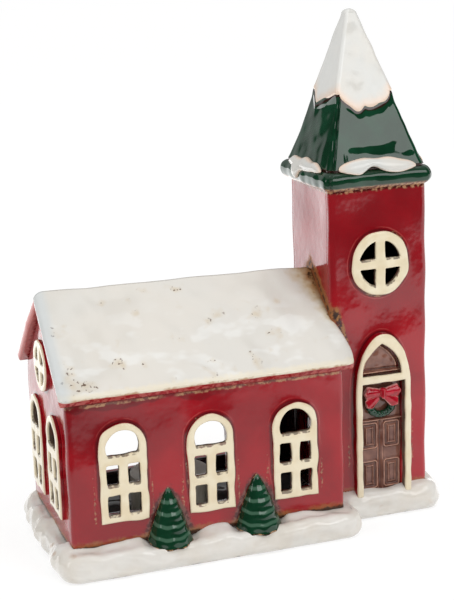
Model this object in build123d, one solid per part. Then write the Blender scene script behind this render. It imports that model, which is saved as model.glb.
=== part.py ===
from build123d import *
from math import cos, radians, sin, tan
import os

# A glazed ceramic village church with a lit inside: a nave, a tower with a spire, and a snow-covered base.
# Millimetres. +Z is up, -Y is the front with the three windows and the door, +X is the tower's end.
# The origin is on the table, under the middle of the base.

# Nave: the long room under the white roof
nave_length = 131.7
nave_depth = 77.7
nave_wall = 5.0
nave_wall_height = 68.3
roof_pitch = 41.5
roof_thickness = 5.5
roof_edge_round = 1.5
eave_overhang = 5.25
verge_overhang = 2.9
roof_lap_past_nave = 1.6

# Tower
tower_width = 49.2
tower_depth = 48.8
tower_wall = 5.0
tower_height = 148.0

# Base of snow
base_thickness = 12.6
base_left_margin = 7.5
base_right_margin = 8.4
base_side_margin = 10.65
base_tower_margin = 6.8
base_step_past_nave = 7.0
base_corner = 9.0
base_top_roll = 5.0
base_bottom_roll = 2.6
most_of_height = 0.6

# Arched windows: raised plaques on the front and the gable, each with five panes
window_width = 22.0
window_height = 46.0
window_sill_height = 11.4
window_proud = 2.2
window_border = 3.25
window_bottom_border = 3.6
pane_height = 9.4
glazing_bar = 4.2
transom = 4.6
pane_corner = 0.8
plaque_edge_round = 0.8
wall_opening_inset = 2.4
front_window_spacing = 40.9
front_window_offset = -0.4
middle_window_drop = 1.4
right_window_drop = 1.5
gable_window_spacing = 34.0

# Round windows: raised discs with four quarter panes
tower_disc_diameter = 29.2
tower_disc_height = 113.3
tower_disc_border = 4.0
tower_disc_bar = 5.2
gable_disc_diameter = 24.0
gable_disc_height = 76.0
gable_disc_border = 3.2
gable_disc_bar = 4.4

# Door in the tower, with its raised frame
door_offset = 0.3
door_frame_width = 28.6
door_frame_height = 79.0
door_frame_arch_rise = 28.0
door_frame_proud = 4.4
door_frame_border = 3.2
fanlight_rise = 15.2
door_transom = 4.3
door_crown_border = 4.2
fanlight_shoulder_out = 0.72
fanlight_shoulder_up = 0.6
fanlight_thickness = 1.5
door_setback = 1.3
door_thickness = 3.7
door_top_panel = 19.9
door_ledge = 1.0
door_relief = 0.8
door_stile = 1.4
door_panel_moulding = 1.3
door_middle_rail = 6.6
door_lower_panel_share = 27 / 52
door_centre_groove = 1.0

# Wreath and bow on the door
wreath_margin = 0.45
wreath_thickness = 5.6
bow_above_wreath = 4.3
bow_knot_width = 3.0
bow_knot_thickness = 5.0
bow_side_gap = 1.5
bow_loop_width = 5.8
bow_loop_thickness = 4.4
bow_tail_drop = 8.5
bow_tail_thickness = 3.4

# Rear opening for the tealight, and the light's way into the tower
rear_opening_width = 72.0
rear_opening_offset = -0.7
rear_sill_height = 7.0
rear_opening_straight = 19.0
rear_opening_rise = 30.0
passage_width = 22.0
passage_height = 60.0

# Spire
rim_overhang = 3.5
rim_height = 7.6
rim_round = 3.0
less_than_half = 0.495
spire_spread = 0.4
spire_height = 81.2
spire_tip_width = 5.2
spire_tip_lean = -2.9
spire_tip_round = 1.9
spire_wall = 5.0
spire_hollow_tip = 2.0
spire_snow = 0.8
snow_edge_drop = 41.0
snow_lobe_drop = 50.0
eave_snow_radius = 3.4
eave_snow_length = 17.0
eave_snow_tilt = 11.0
eave_snow_out = 1.0
eave_snow_up = 2.0

# Trees against the front wall, between its windows
left_tree_width = 20.5
right_tree_width = 22.0
right_tree_offset = 1.5
tree_height = 23.5
tree_bulge = 8.6
tree_tiers = 4
tree_tip_width = 3.0
tree_tier_step = 1.6

# Battery tealight standing in the nave
tealight_offset_x = -10.4
tealight_offset_y = -9.0
shell_height = 20.0
shell_wall = 1.2
shell_dish = 2.4
shell_lip = 1.5
flame_diameter = 9.2
flame_height = 14.0
flame_wall = 1.0
flame_flange = 1.6
flame_tip_diameter = 3.0
flame_neck = 3.0
slip_clearance = 0.3
plate_recess = 1.2
plate_thickness = 1.6
plate_clearance = 0.1
post_wall = 0.9
cell_diameter = 20.0
cell_thickness = 3.2
cell_gap = 0.2
hatch_margin = 1.6
hatch_tab = 1.1
hatch_tab_angle = 24.0
hatch_tab_thickness = 0.8
hatch_turn = 30.0
hatch_notch_spare = 4.0
hatch_slot_length = 10.0
hatch_slot_width = 1.2
hatch_slot_depth = 0.8
board_gap = 1.2
board_thickness = 1.0
led_diameter = 3.0
led_length = 5.5
contact_strip = 0.5
contact_width = 3.0
switch_post_gap = 0.4
switch_shell_gap = 0.8
switch_travel = 2.5
switch_nib_length = 3.0
switch_nib_width = 1.6
switch_nib_drop = 0.7
switch_flange_length = 5.0
switch_flange_width = 2.2
switch_flange_thickness = 1.0

# Places worked out from the sizes above
base_length = base_left_margin + nave_length + tower_width + base_right_margin
x_left = -base_length / 2 + base_left_margin
x_join = x_left + nave_length
x_right = x_join + tower_width
x_nave = (x_left + x_join) / 2
x_tower = (x_join + x_right) / 2
x_door = x_tower + door_offset
door_clear_width = door_frame_width - 2 * door_frame_border
fanlight_foot = door_frame_height - door_crown_border - fanlight_rise
door_height = fanlight_foot - door_transom
door_ledge_height = door_height - door_top_panel
wreath_diameter = min(door_clear_width, door_top_panel - door_ledge) - 2 * wreath_margin
wreath_height = door_height - wreath_margin - wreath_diameter / 2
bow_height = wreath_height + bow_above_wreath
bow_loop_length = door_clear_width / 2 - bow_side_gap
y_nave = nave_depth / 2
y_tower = tower_depth / 2
z_floor = base_thickness
z_tower = z_floor + tower_height
slope = tan(radians(roof_pitch))
z_ridge_under = z_floor + nave_wall_height + y_nave * slope
z_ridge = z_ridge_under + roof_thickness / cos(radians(roof_pitch))
BOTTOM = (Align.CENTER, Align.CENTER, Align.MIN)
LOW_LEFT = (Align.MIN, Align.MIN, Align.MIN)
ON_BASE = (Align.CENTER, Align.MIN)


def block(x0, x1, y0, y1, z0, z1):
    """A box between two corners."""
    return Pos(x0, y0, z0) * Box(x1 - x0, y1 - y0, z1 - z0, align=LOW_LEFT)


def front_plane(x, y, z):
    """A drawing plane that faces the front, with up as its second direction."""
    return Plane(origin=(x, y, z), x_dir=(1, 0, 0), z_dir=(0, -1, 0))


def gable_plane(y, z):
    """A drawing plane on the gable end, facing outwards."""
    return Plane(origin=(x_left, y, z), x_dir=(0, -1, 0), z_dir=(-1, 0, 0))


def side_plane(x):
    """A drawing plane across the nave: first direction +Y, second +Z, facing +X."""
    return Plane(origin=(x, 0, 0), x_dir=(0, 1, 0), z_dir=(1, 0, 0))


def headed(width, straight, head, rise):
    """Straight sides on the origin, with the upper half of a round or oval head on them."""
    lower = Pos(0, straight) * Rectangle(2 * width, 2 * rise, align=(Align.CENTER, Align.MAX))
    return Rectangle(width, straight, align=ON_BASE) + (Pos(0, straight) * head - lower)


def arch(width, height):
    """A round-headed arch standing on the origin."""
    return headed(width, height - width / 2, Circle(width / 2), width / 2)


def oval_arch(width, straight, rise):
    """An arch with straight sides and a half-ellipse head."""
    return headed(width, straight, Ellipse(width / 2, rise), rise)


def pointed_arch(width, rise):
    """Two arcs that rise from a straight foot and meet in a point above its middle."""
    half = width / 2
    shoulder = (half * fanlight_shoulder_out, rise * fanlight_shoulder_up)
    right = ThreePointArc((half, 0), shoulder, (0, rise))
    left = ThreePointArc((0, rise), (-shoulder[0], shoulder[1]), (-half, 0))
    return make_face(right + left + Line((-half, 0), (half, 0)))


def make_base():
    nave_right = x_join + base_step_past_nave
    nave_part_length = nave_right + base_length / 2
    nave_part_depth = nave_depth + 2 * base_side_margin
    tower_part_depth = tower_depth + 2 * base_tower_margin
    nave_part = Pos((nave_right - base_length / 2) / 2, 0) * Rectangle(nave_part_length, nave_part_depth)
    tower_part = Pos(base_length / 2, 0) * Rectangle(
        base_length / 2, tower_part_depth, align=(Align.MAX, Align.CENTER))
    plan = nave_part + tower_part
    step = (nave_part_depth - tower_part_depth) / 2
    plan = fillet(plan.vertices(), min(base_corner, step * less_than_half))
    slab = extrude(plan, amount=base_thickness)
    slab = fillet(slab.edges().group_by(Axis.Z)[-1], min(base_top_roll, base_thickness * most_of_height))
    bottom_roll = min(base_bottom_roll, base_thickness * (1 - most_of_height))
    return fillet(slab.edges().group_by(Axis.Z)[0], bottom_roll)


def window_panes():
    """The five openings of an arched window, standing on the foot of its plaque."""
    clear_width = window_width - 2 * window_border
    pane_width = (clear_width - glazing_bar) / 2
    pane_x = (glazing_bar + pane_width) / 2
    panes = Sketch()
    for row in range(2):
        foot = window_bottom_border + row * (pane_height + transom)
        for side in (-1, 1):
            panes += Pos(side * pane_x, foot + pane_height / 2) * RectangleRounded(
                pane_width, pane_height, pane_corner)
    lunette_foot = window_bottom_border + 2 * (pane_height + transom)
    return panes + Pos(0, lunette_foot) * arch(clear_width, window_height - window_border - lunette_foot)


def rounded_plaque(outline, plane, proud):
    """A raised slab on a wall, with its outer front edge softened."""
    slab = extrude(plane * outline, amount=proud)
    face = slab.faces().sort_by(Axis(plane.origin, plane.z_dir))[-1]
    return fillet(face.outer_wire().edges(), plaque_edge_round)


def arched_window(plane):
    plaque = rounded_plaque(arch(window_width, window_height), plane, window_proud)
    return plaque - extrude(plane * window_panes(), amount=window_proud)


def arched_wall_opening():
    """The hole in the wall behind an arched window, wider than its panes."""
    width = window_width - 2 * wall_opening_inset
    return Pos(0, wall_opening_inset) * arch(width, window_height - 2 * wall_opening_inset)


def round_window(plane, diameter, border, bar):
    disc = rounded_plaque(Circle(diameter / 2), plane, window_proud)
    panes = Circle(diameter / 2 - border) - Rectangle(bar, diameter) - Rectangle(diameter, bar)
    return disc - extrude(plane * panes, amount=window_proud)


def front_window_plane(index):
    x = x_nave + front_window_offset + (index - 1) * front_window_spacing
    drop = (0, middle_window_drop, right_window_drop)[index]
    return front_plane(x, -y_nave, z_floor + window_sill_height - drop)


def gable_window_plane(side):
    return gable_plane(side * gable_window_spacing / 2, z_floor + window_sill_height)


gable_disc_plane = gable_plane(0, z_floor + gable_disc_height)
tower_disc_plane = front_plane(x_tower, -y_tower, z_floor + tower_disc_height)


def long_wall(side):
    """A long wall of the nave, its top bevelled to the roof's slope. side is -1 in front, 1 behind."""
    inner = y_nave - nave_wall
    z_outer = z_floor + nave_wall_height
    section = Polyline((side * y_nave, z_floor), (side * y_nave, z_outer),
                       (side * inner, z_outer + nave_wall * slope), (side * inner, z_floor), close=True)
    return extrude(side_plane(x_left) * make_face(section), amount=nave_length, dir=(1, 0, 0))


def make_front_wall():
    wall = long_wall(-1)
    for index in range(3):
        wall -= extrude(front_window_plane(index) * arched_wall_opening(), amount=-nave_wall)
    return wall


def make_rear_wall():
    plane = front_plane(x_nave + rear_opening_offset, y_nave, z_floor + rear_sill_height)
    opening = oval_arch(rear_opening_width, rear_opening_straight, rear_opening_rise)
    return long_wall(1) - extrude(plane * opening, amount=nave_wall)


def end_wall(x):
    """A pointed end wall between the two long walls, from x towards +X."""
    inner = y_nave - nave_wall
    z_side = z_ridge_under - inner * slope
    outline = Polyline((-inner, z_floor), (inner, z_floor), (inner, z_side), (0, z_ridge_under),
                       (-inner, z_side), close=True)
    return extrude(side_plane(x) * make_face(outline), amount=nave_wall, dir=(1, 0, 0))


def make_gable_wall():
    wall = end_wall(x_left)
    for side in (-1, 1):
        wall -= extrude(gable_window_plane(side) * arched_wall_opening(), amount=-nave_wall)
    hole = Circle(gable_disc_diameter / 2 - wall_opening_inset)
    return wall - extrude(gable_disc_plane * hole, amount=-nave_wall)


def light_passage():
    """The arched way for the light, through the nave's end wall and the tower's left wall."""
    plane = Plane(origin=(x_join - nave_wall, 0, z_floor), x_dir=(0, 1, 0), z_dir=(1, 0, 0))
    return extrude(plane * arch(passage_width, passage_height), amount=nave_wall + tower_wall)


def make_roof_slab(side):
    """One slope of the roof: side is -1 in front, 1 behind. The two meet at the ridge."""
    y_eave = y_nave + eave_overhang
    z_eave = z_ridge - y_eave * slope
    lean = radians(roof_pitch)
    y_lip = y_eave - roof_thickness * sin(lean)
    z_lip = z_eave - roof_thickness * cos(lean)
    section = Polyline((0, z_ridge), (side * y_eave, z_eave), (side * y_lip, z_lip), (0, z_ridge_under),
                       close=True)
    start = x_left - verge_overhang
    length = x_join + roof_lap_past_nave - start
    slab = extrude(side_plane(start) * make_face(section), amount=length, dir=(1, 0, 0))
    eave_edges = slab.edges().filter_by(Axis.X).sort_by(Axis.Y)
    eave_edge = eave_edges[0] if side < 0 else eave_edges[-1]
    slab = fillet(eave_edge, roof_edge_round)
    return slab - block(x_join, x_right, -y_tower, y_tower, z_floor, z_tower)


def make_tower_front_wall():
    wall = block(x_join, x_right, -y_tower, -y_tower + tower_wall, z_floor, z_tower)
    half_door = door_clear_width / 2
    wall -= block(x_door - half_door, x_door + half_door, -y_tower, -y_tower + tower_wall,
                  z_floor, z_floor + door_height)
    hole = Circle(tower_disc_diameter / 2 - wall_opening_inset)
    return wall - extrude(tower_disc_plane * hole, amount=-tower_wall)


def make_tower_rear_wall():
    return block(x_join, x_right, y_tower - tower_wall, y_tower, z_floor, z_tower)


def tower_side_wall(x):
    """A tower wall between its front and rear walls, from x towards +X."""
    inner = y_tower - tower_wall
    return block(x, x + tower_wall, -inner, inner, z_floor, z_tower)


def door_plane(z):
    return front_plane(x_door, -y_tower, z)


def fanlight_outline():
    return Pos(0, fanlight_foot) * pointed_arch(door_clear_width, fanlight_rise)


def make_door_frame():
    outline = oval_arch(door_frame_width, door_frame_height - door_frame_arch_rise, door_frame_arch_rise)
    frame = rounded_plaque(outline, door_plane(z_floor), door_frame_proud)
    openings = Rectangle(door_clear_width, door_height, align=ON_BASE) + fanlight_outline()
    return frame - extrude(door_plane(z_floor) * openings, amount=door_frame_proud)


def make_fanlight():
    return extrude(door_plane(z_floor) * fanlight_outline(), amount=fanlight_thickness)


door_face = front_plane(x_door, -y_tower + door_setback, z_floor)


def make_door():
    """One pressed slab that shows two leaves: a ledge, a centre groove and four moulded panels."""
    slab = Rectangle(door_clear_width, door_height, align=ON_BASE)
    door = extrude(door_face * slab, amount=-door_thickness)
    groove = Rectangle(door_centre_groove, door_ledge_height, align=ON_BASE)
    door -= extrude(door_face * groove, amount=-door_relief)
    ledge = Pos(0, door_ledge_height) * Rectangle(door_clear_width, door_ledge, align=ON_BASE)
    door += extrude(door_face * ledge, amount=door_ledge)
    panel_width = (door_clear_width - door_centre_groove) / 2 - 2 * door_stile
    panel_x = (door_centre_groove + panel_width) / 2 + door_stile
    panel_heights = door_ledge_height - 2 * door_stile - door_middle_rail
    lower_height = panel_heights * door_lower_panel_share
    upper_height = panel_heights - lower_height
    lower_z = door_stile + lower_height / 2
    upper_z = door_ledge_height - door_stile - upper_height / 2
    for side in (-1, 1):
        for z, height in ((lower_z, lower_height), (upper_z, upper_height)):
            hole = Rectangle(panel_width - 2 * door_panel_moulding, height - 2 * door_panel_moulding)
            ring = Rectangle(panel_width, height) - hole
            door += extrude(door_face * (Pos(side * panel_x, z) * ring), amount=door_relief)
    return door


def make_wreath():
    """A fat ring pressed onto the door, flat behind."""
    minor = wreath_thickness / 2
    centre = front_plane(x_door, -y_tower + door_setback, z_floor + wreath_height)
    ring = centre * Torus((wreath_diameter - wreath_thickness) / 2, minor)
    behind = extrude(centre * Rectangle(2 * wreath_diameter, 2 * wreath_diameter), amount=-wreath_thickness)
    return ring - behind


def make_bow(wreath):
    """Two loops, two tails and a knot, pressed over the top of the wreath."""
    plane = front_plane(x_door, -y_tower + door_setback, z_floor + bow_height)
    half_knot = bow_knot_width / 2
    half_loop = bow_loop_width / 2
    bow = extrude(plane * RectangleRounded(bow_knot_width, half_loop + half_knot, pane_corner),
                  amount=bow_knot_thickness)
    for side in (-1, 1):
        loop = make_face(Polyline((0, half_knot / 2), (side * bow_loop_length, half_loop),
                                  (side * bow_loop_length, -half_loop), (0, -half_knot / 2), close=True))
        tail = make_face(Polyline((0, 0), (side * bow_loop_length, half_loop - bow_tail_drop),
                                  (side * half_loop * 2, -bow_tail_drop), (0, -half_loop), close=True))
        bow += extrude(plane * loop, amount=bow_loop_thickness)
        bow += extrude(plane * tail, amount=bow_tail_thickness)
    return bow - wreath


def make_tree(index, width, offset):
    """Half a tiered cone against the front wall, between two windows, standing on the base."""
    x = (front_window_plane(index).origin.X + front_window_plane(index + 1).origin.X) / 2 + offset
    tier_height = tree_height / tree_tiers
    taper = (width - tree_tip_width) / 2 / tree_tiers
    sunk = 1 - tree_bulge / (width / 2)
    tree = Part()
    for tier in range(tree_tiers):
        low = width / 2 - tier * taper
        high = max(low - taper - tree_tier_step, tree_tip_width / 4)
        place = Pos(x, -y_nave + low * sunk, z_floor + tier * tier_height)
        tree += place * Cone(low, high, tier_height, align=BOTTOM)
    return tree - block(x - width, x + width, -y_nave, y_nave, 0, z_ridge)


z_rim = z_tower + rim_height
spire_foot_width = tower_width + 2 * spire_spread
spire_foot_depth = tower_depth + 2 * spire_spread


def spire_axis(z):
    """The spire stands a little askew: where its axis is at a height."""
    return x_tower + spire_tip_lean * (z - z_rim) / (spire_height - rim_height)


def pyramid(grow, tip_round):
    """The spire's slopes, from the rim to a blunt rounded tip, moved outwards by grow."""
    foot = Pos(x_tower, 0, z_rim) * Rectangle(spire_foot_width + 2 * grow, spire_foot_depth + 2 * grow)
    tip_z = z_tower + spire_height + grow
    tip = Pos(spire_axis(z_tower + spire_height), 0, tip_z) * Rectangle(
        spire_tip_width + 2 * grow, spire_tip_width + 2 * grow)
    solid = loft([foot, tip])
    most_round = spire_tip_width * less_than_half + grow
    return fillet(solid.edges().group_by(Axis.Z)[-1], min(tip_round, most_round))


def make_spire():
    rim = Pos(x_tower, 0, z_tower) * Box(
        tower_width + 2 * rim_overhang, tower_depth + 2 * rim_overhang, rim_height, align=BOTTOM)
    rim = fillet(rim.edges(), min(rim_round, rim_height * less_than_half))
    rise = spire_height - rim_height
    lean = (spire_foot_width - spire_tip_width) / 2 / rise
    hollow_width = spire_foot_width - 2 * spire_wall
    hollow_depth = spire_foot_depth - 2 * spire_wall
    hollow_rise = (hollow_width - spire_hollow_tip) / 2 / lean
    hollow_top = z_rim + hollow_rise
    hollow = loft([Pos(x_tower, 0, z_rim) * Rectangle(hollow_width, hollow_depth),
                   Pos(spire_axis(hollow_top), 0, hollow_top) * Rectangle(spire_hollow_tip, spire_hollow_tip)])
    hollow += Pos(x_tower, 0, z_tower) * Box(hollow_width, hollow_depth, rim_height, align=BOTTOM)
    return rim + pyramid(0, spire_tip_round) - hollow


def make_spire_cap():
    """Snow over the tip, its lower edge hanging in a lobe on each slope."""
    z_tip = z_tower + spire_height + spire_snow
    z_edge = z_tip - snow_edge_drop
    z_lobe = z_tip - snow_lobe_drop
    lean = (spire_foot_width - spire_tip_width) / 2 / (spire_height - rim_height)
    half = spire_tip_width / 2 + snow_edge_drop * lean + spire_snow
    edge = Line((-half, z_edge), (-half, z_tip)) + Line((-half, z_tip), (half, z_tip))
    edge += Line((half, z_tip), (half, z_edge))
    edge += ThreePointArc((half, z_edge), (0, z_lobe), (-half, z_edge))
    lobes = make_face(edge)
    x_edge = spire_axis(z_edge)
    across = Plane(origin=(x_edge, -half, 0), x_dir=(1, 0, 0), z_dir=(0, -1, 0)) * lobes
    along = Plane(origin=(x_edge - half, 0, 0), x_dir=(0, 1, 0), z_dir=(1, 0, 0)) * lobes
    keep = extrude(across, amount=-2 * half) + extrude(along, amount=2 * half)
    return (pyramid(spire_snow, spire_tip_round + spire_snow) & keep) - pyramid(0, spire_tip_round)


def make_eave_snow(spire):
    """On each side of the spire's foot, two pillows of snow that lean together, resting on the rim."""
    reach = eave_snow_length / 2 - eave_snow_radius
    pillows = []
    for turn in range(4):
        foot = spire_foot_depth if turn % 2 == 0 else spire_foot_width
        middle = Pos(x_tower, 0, z_rim + eave_snow_up) * Rot(0, 0, 90 * turn) * Pos(
            0, -foot / 2 - eave_snow_out, 0)
        pair = Part()
        for side in (-1, 1):
            place = middle * Pos(side * reach, 0, 0) * Rot(0, side * eave_snow_tilt, 0)
            pair += place * Rot(0, 90, 0) * Cylinder(eave_snow_radius, 2 * reach)
            for end in (-1, 1):
                pair += place * Pos(end * reach, 0, 0) * Sphere(eave_snow_radius)
        pillows += (pair - spire).solids()
    return pillows


tealight = Pos(x_nave + rear_opening_offset + tealight_offset_x, tealight_offset_y, z_floor)
hatch_radius = cell_diameter / 2 + hatch_margin
post_bore = hatch_radius + hatch_tab + slip_clearance
post_radius = post_bore + post_wall
switch_radius = post_radius + switch_post_gap + switch_flange_width / 2
shell_bore = switch_radius + switch_flange_width / 2 + switch_shell_gap
shell_radius = shell_bore + shell_wall
flame_radius = flame_diameter / 2
dish_floor = shell_height - shell_dish
board_height = dish_floor - shell_wall - flame_flange - board_gap - board_thickness
plate_top = plate_recess + plate_thickness
cell_foot = plate_top + cell_gap


def turned(*points):
    """A solid of revolution from points of radius and height, on the tealight's own axis."""
    return revolve(Plane.XZ * make_face(Polyline(*points, close=True)), axis=Axis.Z)


def make_shell():
    hole = flame_radius + slip_clearance
    under = dish_floor - shell_wall
    well = hole + flame_flange
    lip = shell_radius - shell_lip
    return turned((shell_bore, 0), (shell_radius, 0), (shell_radius, shell_height), (lip, shell_height),
                  (well, dish_floor), (hole, dish_floor), (hole, under), (well, under),
                  (lip, shell_height - shell_wall), (shell_bore, shell_height - shell_wall))


def flame_body(radius, foot, tip_radius, top):
    """A neck, a cone above it and a round tip, all on one axis."""
    shoulder = dish_floor + flame_neck
    neck = Pos(0, 0, foot) * Cylinder(radius, shoulder - foot, align=BOTTOM)
    cone = Pos(0, 0, shoulder) * Cone(radius, tip_radius, top - tip_radius - shoulder, align=BOTTOM)
    return neck + cone + Pos(0, 0, top - tip_radius) * Sphere(tip_radius)


def make_flame():
    """A hollow flame: a flange under the shell, a neck through its hole, and a tapering tip."""
    under = dish_floor - shell_wall
    foot = under - flame_flange
    top = dish_floor + flame_height
    tip_radius = flame_tip_diameter / 2
    flame = flame_body(flame_radius, foot, tip_radius, top)
    flame += Pos(0, 0, foot) * Cylinder(flame_radius + flame_flange, flame_flange, align=BOTTOM)
    return flame - flame_body(flame_radius - flame_wall, foot, tip_radius / 2, top - flame_wall)


def make_board():
    return Pos(0, 0, board_height) * Cylinder(post_radius, board_thickness, align=BOTTOM)


def make_led():
    radius = led_diameter / 2
    foot = Pos(0, 0, board_height + board_thickness)
    body = foot * Cylinder(radius, led_length - radius, align=BOTTOM)
    return body + foot * Pos(0, 0, led_length - radius) * Sphere(radius)


def make_cell():
    return Pos(0, 0, cell_foot) * Cylinder(cell_diameter / 2, cell_thickness, align=BOTTOM)


def make_contacts():
    """Two strips that hang from the board: one presses on the cell's top, one beside its rim."""
    cell_top = cell_foot + cell_thickness
    top_strip = block(-contact_strip / 2, contact_strip / 2, -contact_width / 2, contact_width / 2,
                      cell_top, board_height)
    rim_inner = cell_diameter / 2 + plate_clearance
    rim_strip = block(rim_inner, rim_inner + contact_strip, -contact_width / 2, contact_width / 2,
                      cell_foot + hatch_tab_thickness, board_height)
    return [top_strip, rim_strip]


def sector(radius, angle, z0, height):
    """A slice of a disc, centred on +Y."""
    half = radians(angle / 2)
    reach = 2 * radius
    wedge = make_face(Polyline((0, 0), (reach * sin(half), reach * cos(half)),
                               (-reach * sin(half), reach * cos(half)), close=True))
    disc = Circle(radius) & wedge
    return Pos(0, 0, z0) * extrude(disc, amount=height)


def make_plate():
    """The tealight's bottom: a post ring for the board, a hatch hole with two notches and a switch slot."""
    plate = Pos(0, 0, plate_recess) * Cylinder(shell_bore - plate_clearance, plate_thickness, align=BOTTOM)
    post = Cylinder(post_radius, board_height - plate_recess, align=BOTTOM)
    post -= Cylinder(post_bore, board_height - plate_recess, align=BOTTOM)
    plate += Pos(0, 0, plate_recess) * post
    plate -= Cylinder(hatch_radius + slip_clearance, plate_top, align=BOTTOM)
    notch_radius = hatch_radius + hatch_tab + slip_clearance / 2
    notch = sector(notch_radius, hatch_tab_angle + hatch_notch_spare, 0, plate_top)
    for half_turn in (0, 180):
        plate -= Rot(0, 0, half_turn + hatch_turn) * notch
    slot_length = switch_nib_length + switch_travel + 2 * slip_clearance
    slot = Pos(0, switch_radius, 0) * Box(slot_length, switch_nib_width + 2 * slip_clearance, plate_top,
                                          align=BOTTOM)
    return plate - slot


def make_hatch():
    """The round battery hatch, with two tabs above the plate and a coin slot below."""
    hatch = Pos(0, 0, plate_recess) * Cylinder(hatch_radius, plate_thickness, align=BOTTOM)
    ring = Pos(0, 0, plate_top) * Cylinder(hatch_radius, hatch_tab_thickness + plate_clearance, align=BOTTOM)
    ring -= Cylinder(cell_diameter / 2 + slip_clearance + contact_strip, board_height, align=BOTTOM)
    hatch += ring
    tab = sector(hatch_radius + hatch_tab, hatch_tab_angle, plate_top + plate_clearance, hatch_tab_thickness)
    tab -= Cylinder(hatch_radius - post_wall / 2, board_height, align=BOTTOM)
    for half_turn in (0, 180):
        hatch += Rot(0, 0, half_turn) * tab
    slot = Pos(0, 0, plate_recess) * Box(hatch_slot_length, hatch_slot_width, hatch_slot_depth, align=BOTTOM)
    return hatch - slot


def make_switch():
    """The slide switch at the start of its travel: a nib through the plate and a flange above it."""
    place = Pos(-switch_travel / 2, switch_radius, plate_recess - switch_nib_drop)
    nib_height = switch_nib_drop + plate_thickness + plate_clearance
    nib = place * Box(switch_nib_length, switch_nib_width, nib_height, align=BOTTOM)
    return nib + place * Pos(0, 0, nib_height) * Box(
        switch_flange_length, switch_flange_width, switch_flange_thickness, align=BOTTOM)


def save(name, shape):
    """Writes one node: its single solid, or its separate solids together."""
    solids = shape if isinstance(shape, list) else shape.solids()
    whole = solids[0] if len(solids) == 1 else Compound(children=list(solids))
    export_step(whole, f"parts/{name}.step")
    print(name, len(solids), "solids, volume", round(sum(s.volume for s in solids), 1))


def main():
    os.makedirs("parts", exist_ok=True)
    save("snow_base", make_base())
    save("nave_front_wall", make_front_wall())
    save("nave_rear_wall", make_rear_wall())
    save("nave_gable_wall", make_gable_wall())
    passage = light_passage()
    save("nave_tower_wall", end_wall(x_join - nave_wall) - passage)
    save("roof_front_slab", make_roof_slab(-1))
    save("roof_rear_slab", make_roof_slab(1))
    save("tower_front_wall", make_tower_front_wall())
    save("tower_rear_wall", make_tower_rear_wall())
    save("tower_left_wall", tower_side_wall(x_join) - passage)
    save("tower_right_wall", tower_side_wall(x_right - tower_wall))
    spire = make_spire()
    save("spire", spire)
    save("spire_snow_cap", make_spire_cap())
    save("spire_eave_snow", make_eave_snow(spire))
    for index, place in enumerate(("left", "middle", "right")):
        save(f"front_window_{place}", arched_window(front_window_plane(index)))
    for side, place in ((-1, "front"), (1, "rear")):
        save(f"gable_window_{place}", arched_window(gable_window_plane(side)))
    save("gable_round_window", round_window(gable_disc_plane, gable_disc_diameter, gable_disc_border,
                                            gable_disc_bar))
    save("tower_round_window", round_window(tower_disc_plane, tower_disc_diameter, tower_disc_border,
                                            tower_disc_bar))
    save("door_frame", make_door_frame())
    save("fanlight_panel", make_fanlight())
    save("door_panel", make_door())
    wreath = make_wreath()
    save("door_wreath", wreath)
    save("door_bow", make_bow(wreath))
    save("tree_left", make_tree(0, left_tree_width, 0))
    save("tree_right", make_tree(1, right_tree_width, right_tree_offset))
    save("tealight_shell", tealight * make_shell())
    save("tealight_flame", tealight * make_flame())
    save("tealight_board", tealight * make_board())
    save("tealight_led", tealight * make_led())
    save("tealight_coin_cell", tealight * make_cell())
    save("tealight_contacts", [tealight * strip for strip in make_contacts()])
    save("tealight_bottom_plate", tealight * make_plate())
    save("tealight_battery_hatch", tealight * make_hatch())
    save("tealight_switch", tealight * make_switch())


main()
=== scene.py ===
# %% [markdown]
# # A glazed clay church that holds a tealight
#
# The real object is a small church made of rolled clay slabs. Windows, door, trees and snow were pressed on
# as separate pieces of clay, and everything was dipped or painted in glossy glazes and fired. The solids of
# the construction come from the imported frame, and this lesson gives them their hand-made shapes and their
# glazes.

import bmesh
import bpy
import numpy as np
from mathutils import Matrix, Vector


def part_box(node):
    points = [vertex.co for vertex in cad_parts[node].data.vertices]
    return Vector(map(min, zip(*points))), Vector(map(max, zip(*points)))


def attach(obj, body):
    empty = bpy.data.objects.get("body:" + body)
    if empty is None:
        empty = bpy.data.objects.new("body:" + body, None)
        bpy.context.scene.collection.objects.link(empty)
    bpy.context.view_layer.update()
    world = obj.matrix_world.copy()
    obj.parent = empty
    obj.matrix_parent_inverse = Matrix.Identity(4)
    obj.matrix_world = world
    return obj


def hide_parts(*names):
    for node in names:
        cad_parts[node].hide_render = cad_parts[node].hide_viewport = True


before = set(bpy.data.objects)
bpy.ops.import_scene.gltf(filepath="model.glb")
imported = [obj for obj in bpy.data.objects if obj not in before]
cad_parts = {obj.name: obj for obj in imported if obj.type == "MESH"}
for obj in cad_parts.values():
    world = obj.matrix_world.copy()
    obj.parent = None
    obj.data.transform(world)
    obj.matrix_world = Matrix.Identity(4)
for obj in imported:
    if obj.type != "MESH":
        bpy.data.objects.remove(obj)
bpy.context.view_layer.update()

# %% [markdown]
# ## Places
#
# Everything is worked out in millimetres and turned into metres when a mesh is made. The places of walls,
# roof and tower could be typed in again here. The frame already knows where each piece stands, so they are
# read from the boxes of its nodes.

# %% Main places, from the frame
MM = 0.001
UP = np.array([0.0, 0.0, 1.0])


def corners(node):
    """A node's lowest and highest corners, in millimetres."""
    low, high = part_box(node)
    return np.array(low) / MM, np.array(high) / MM


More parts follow.
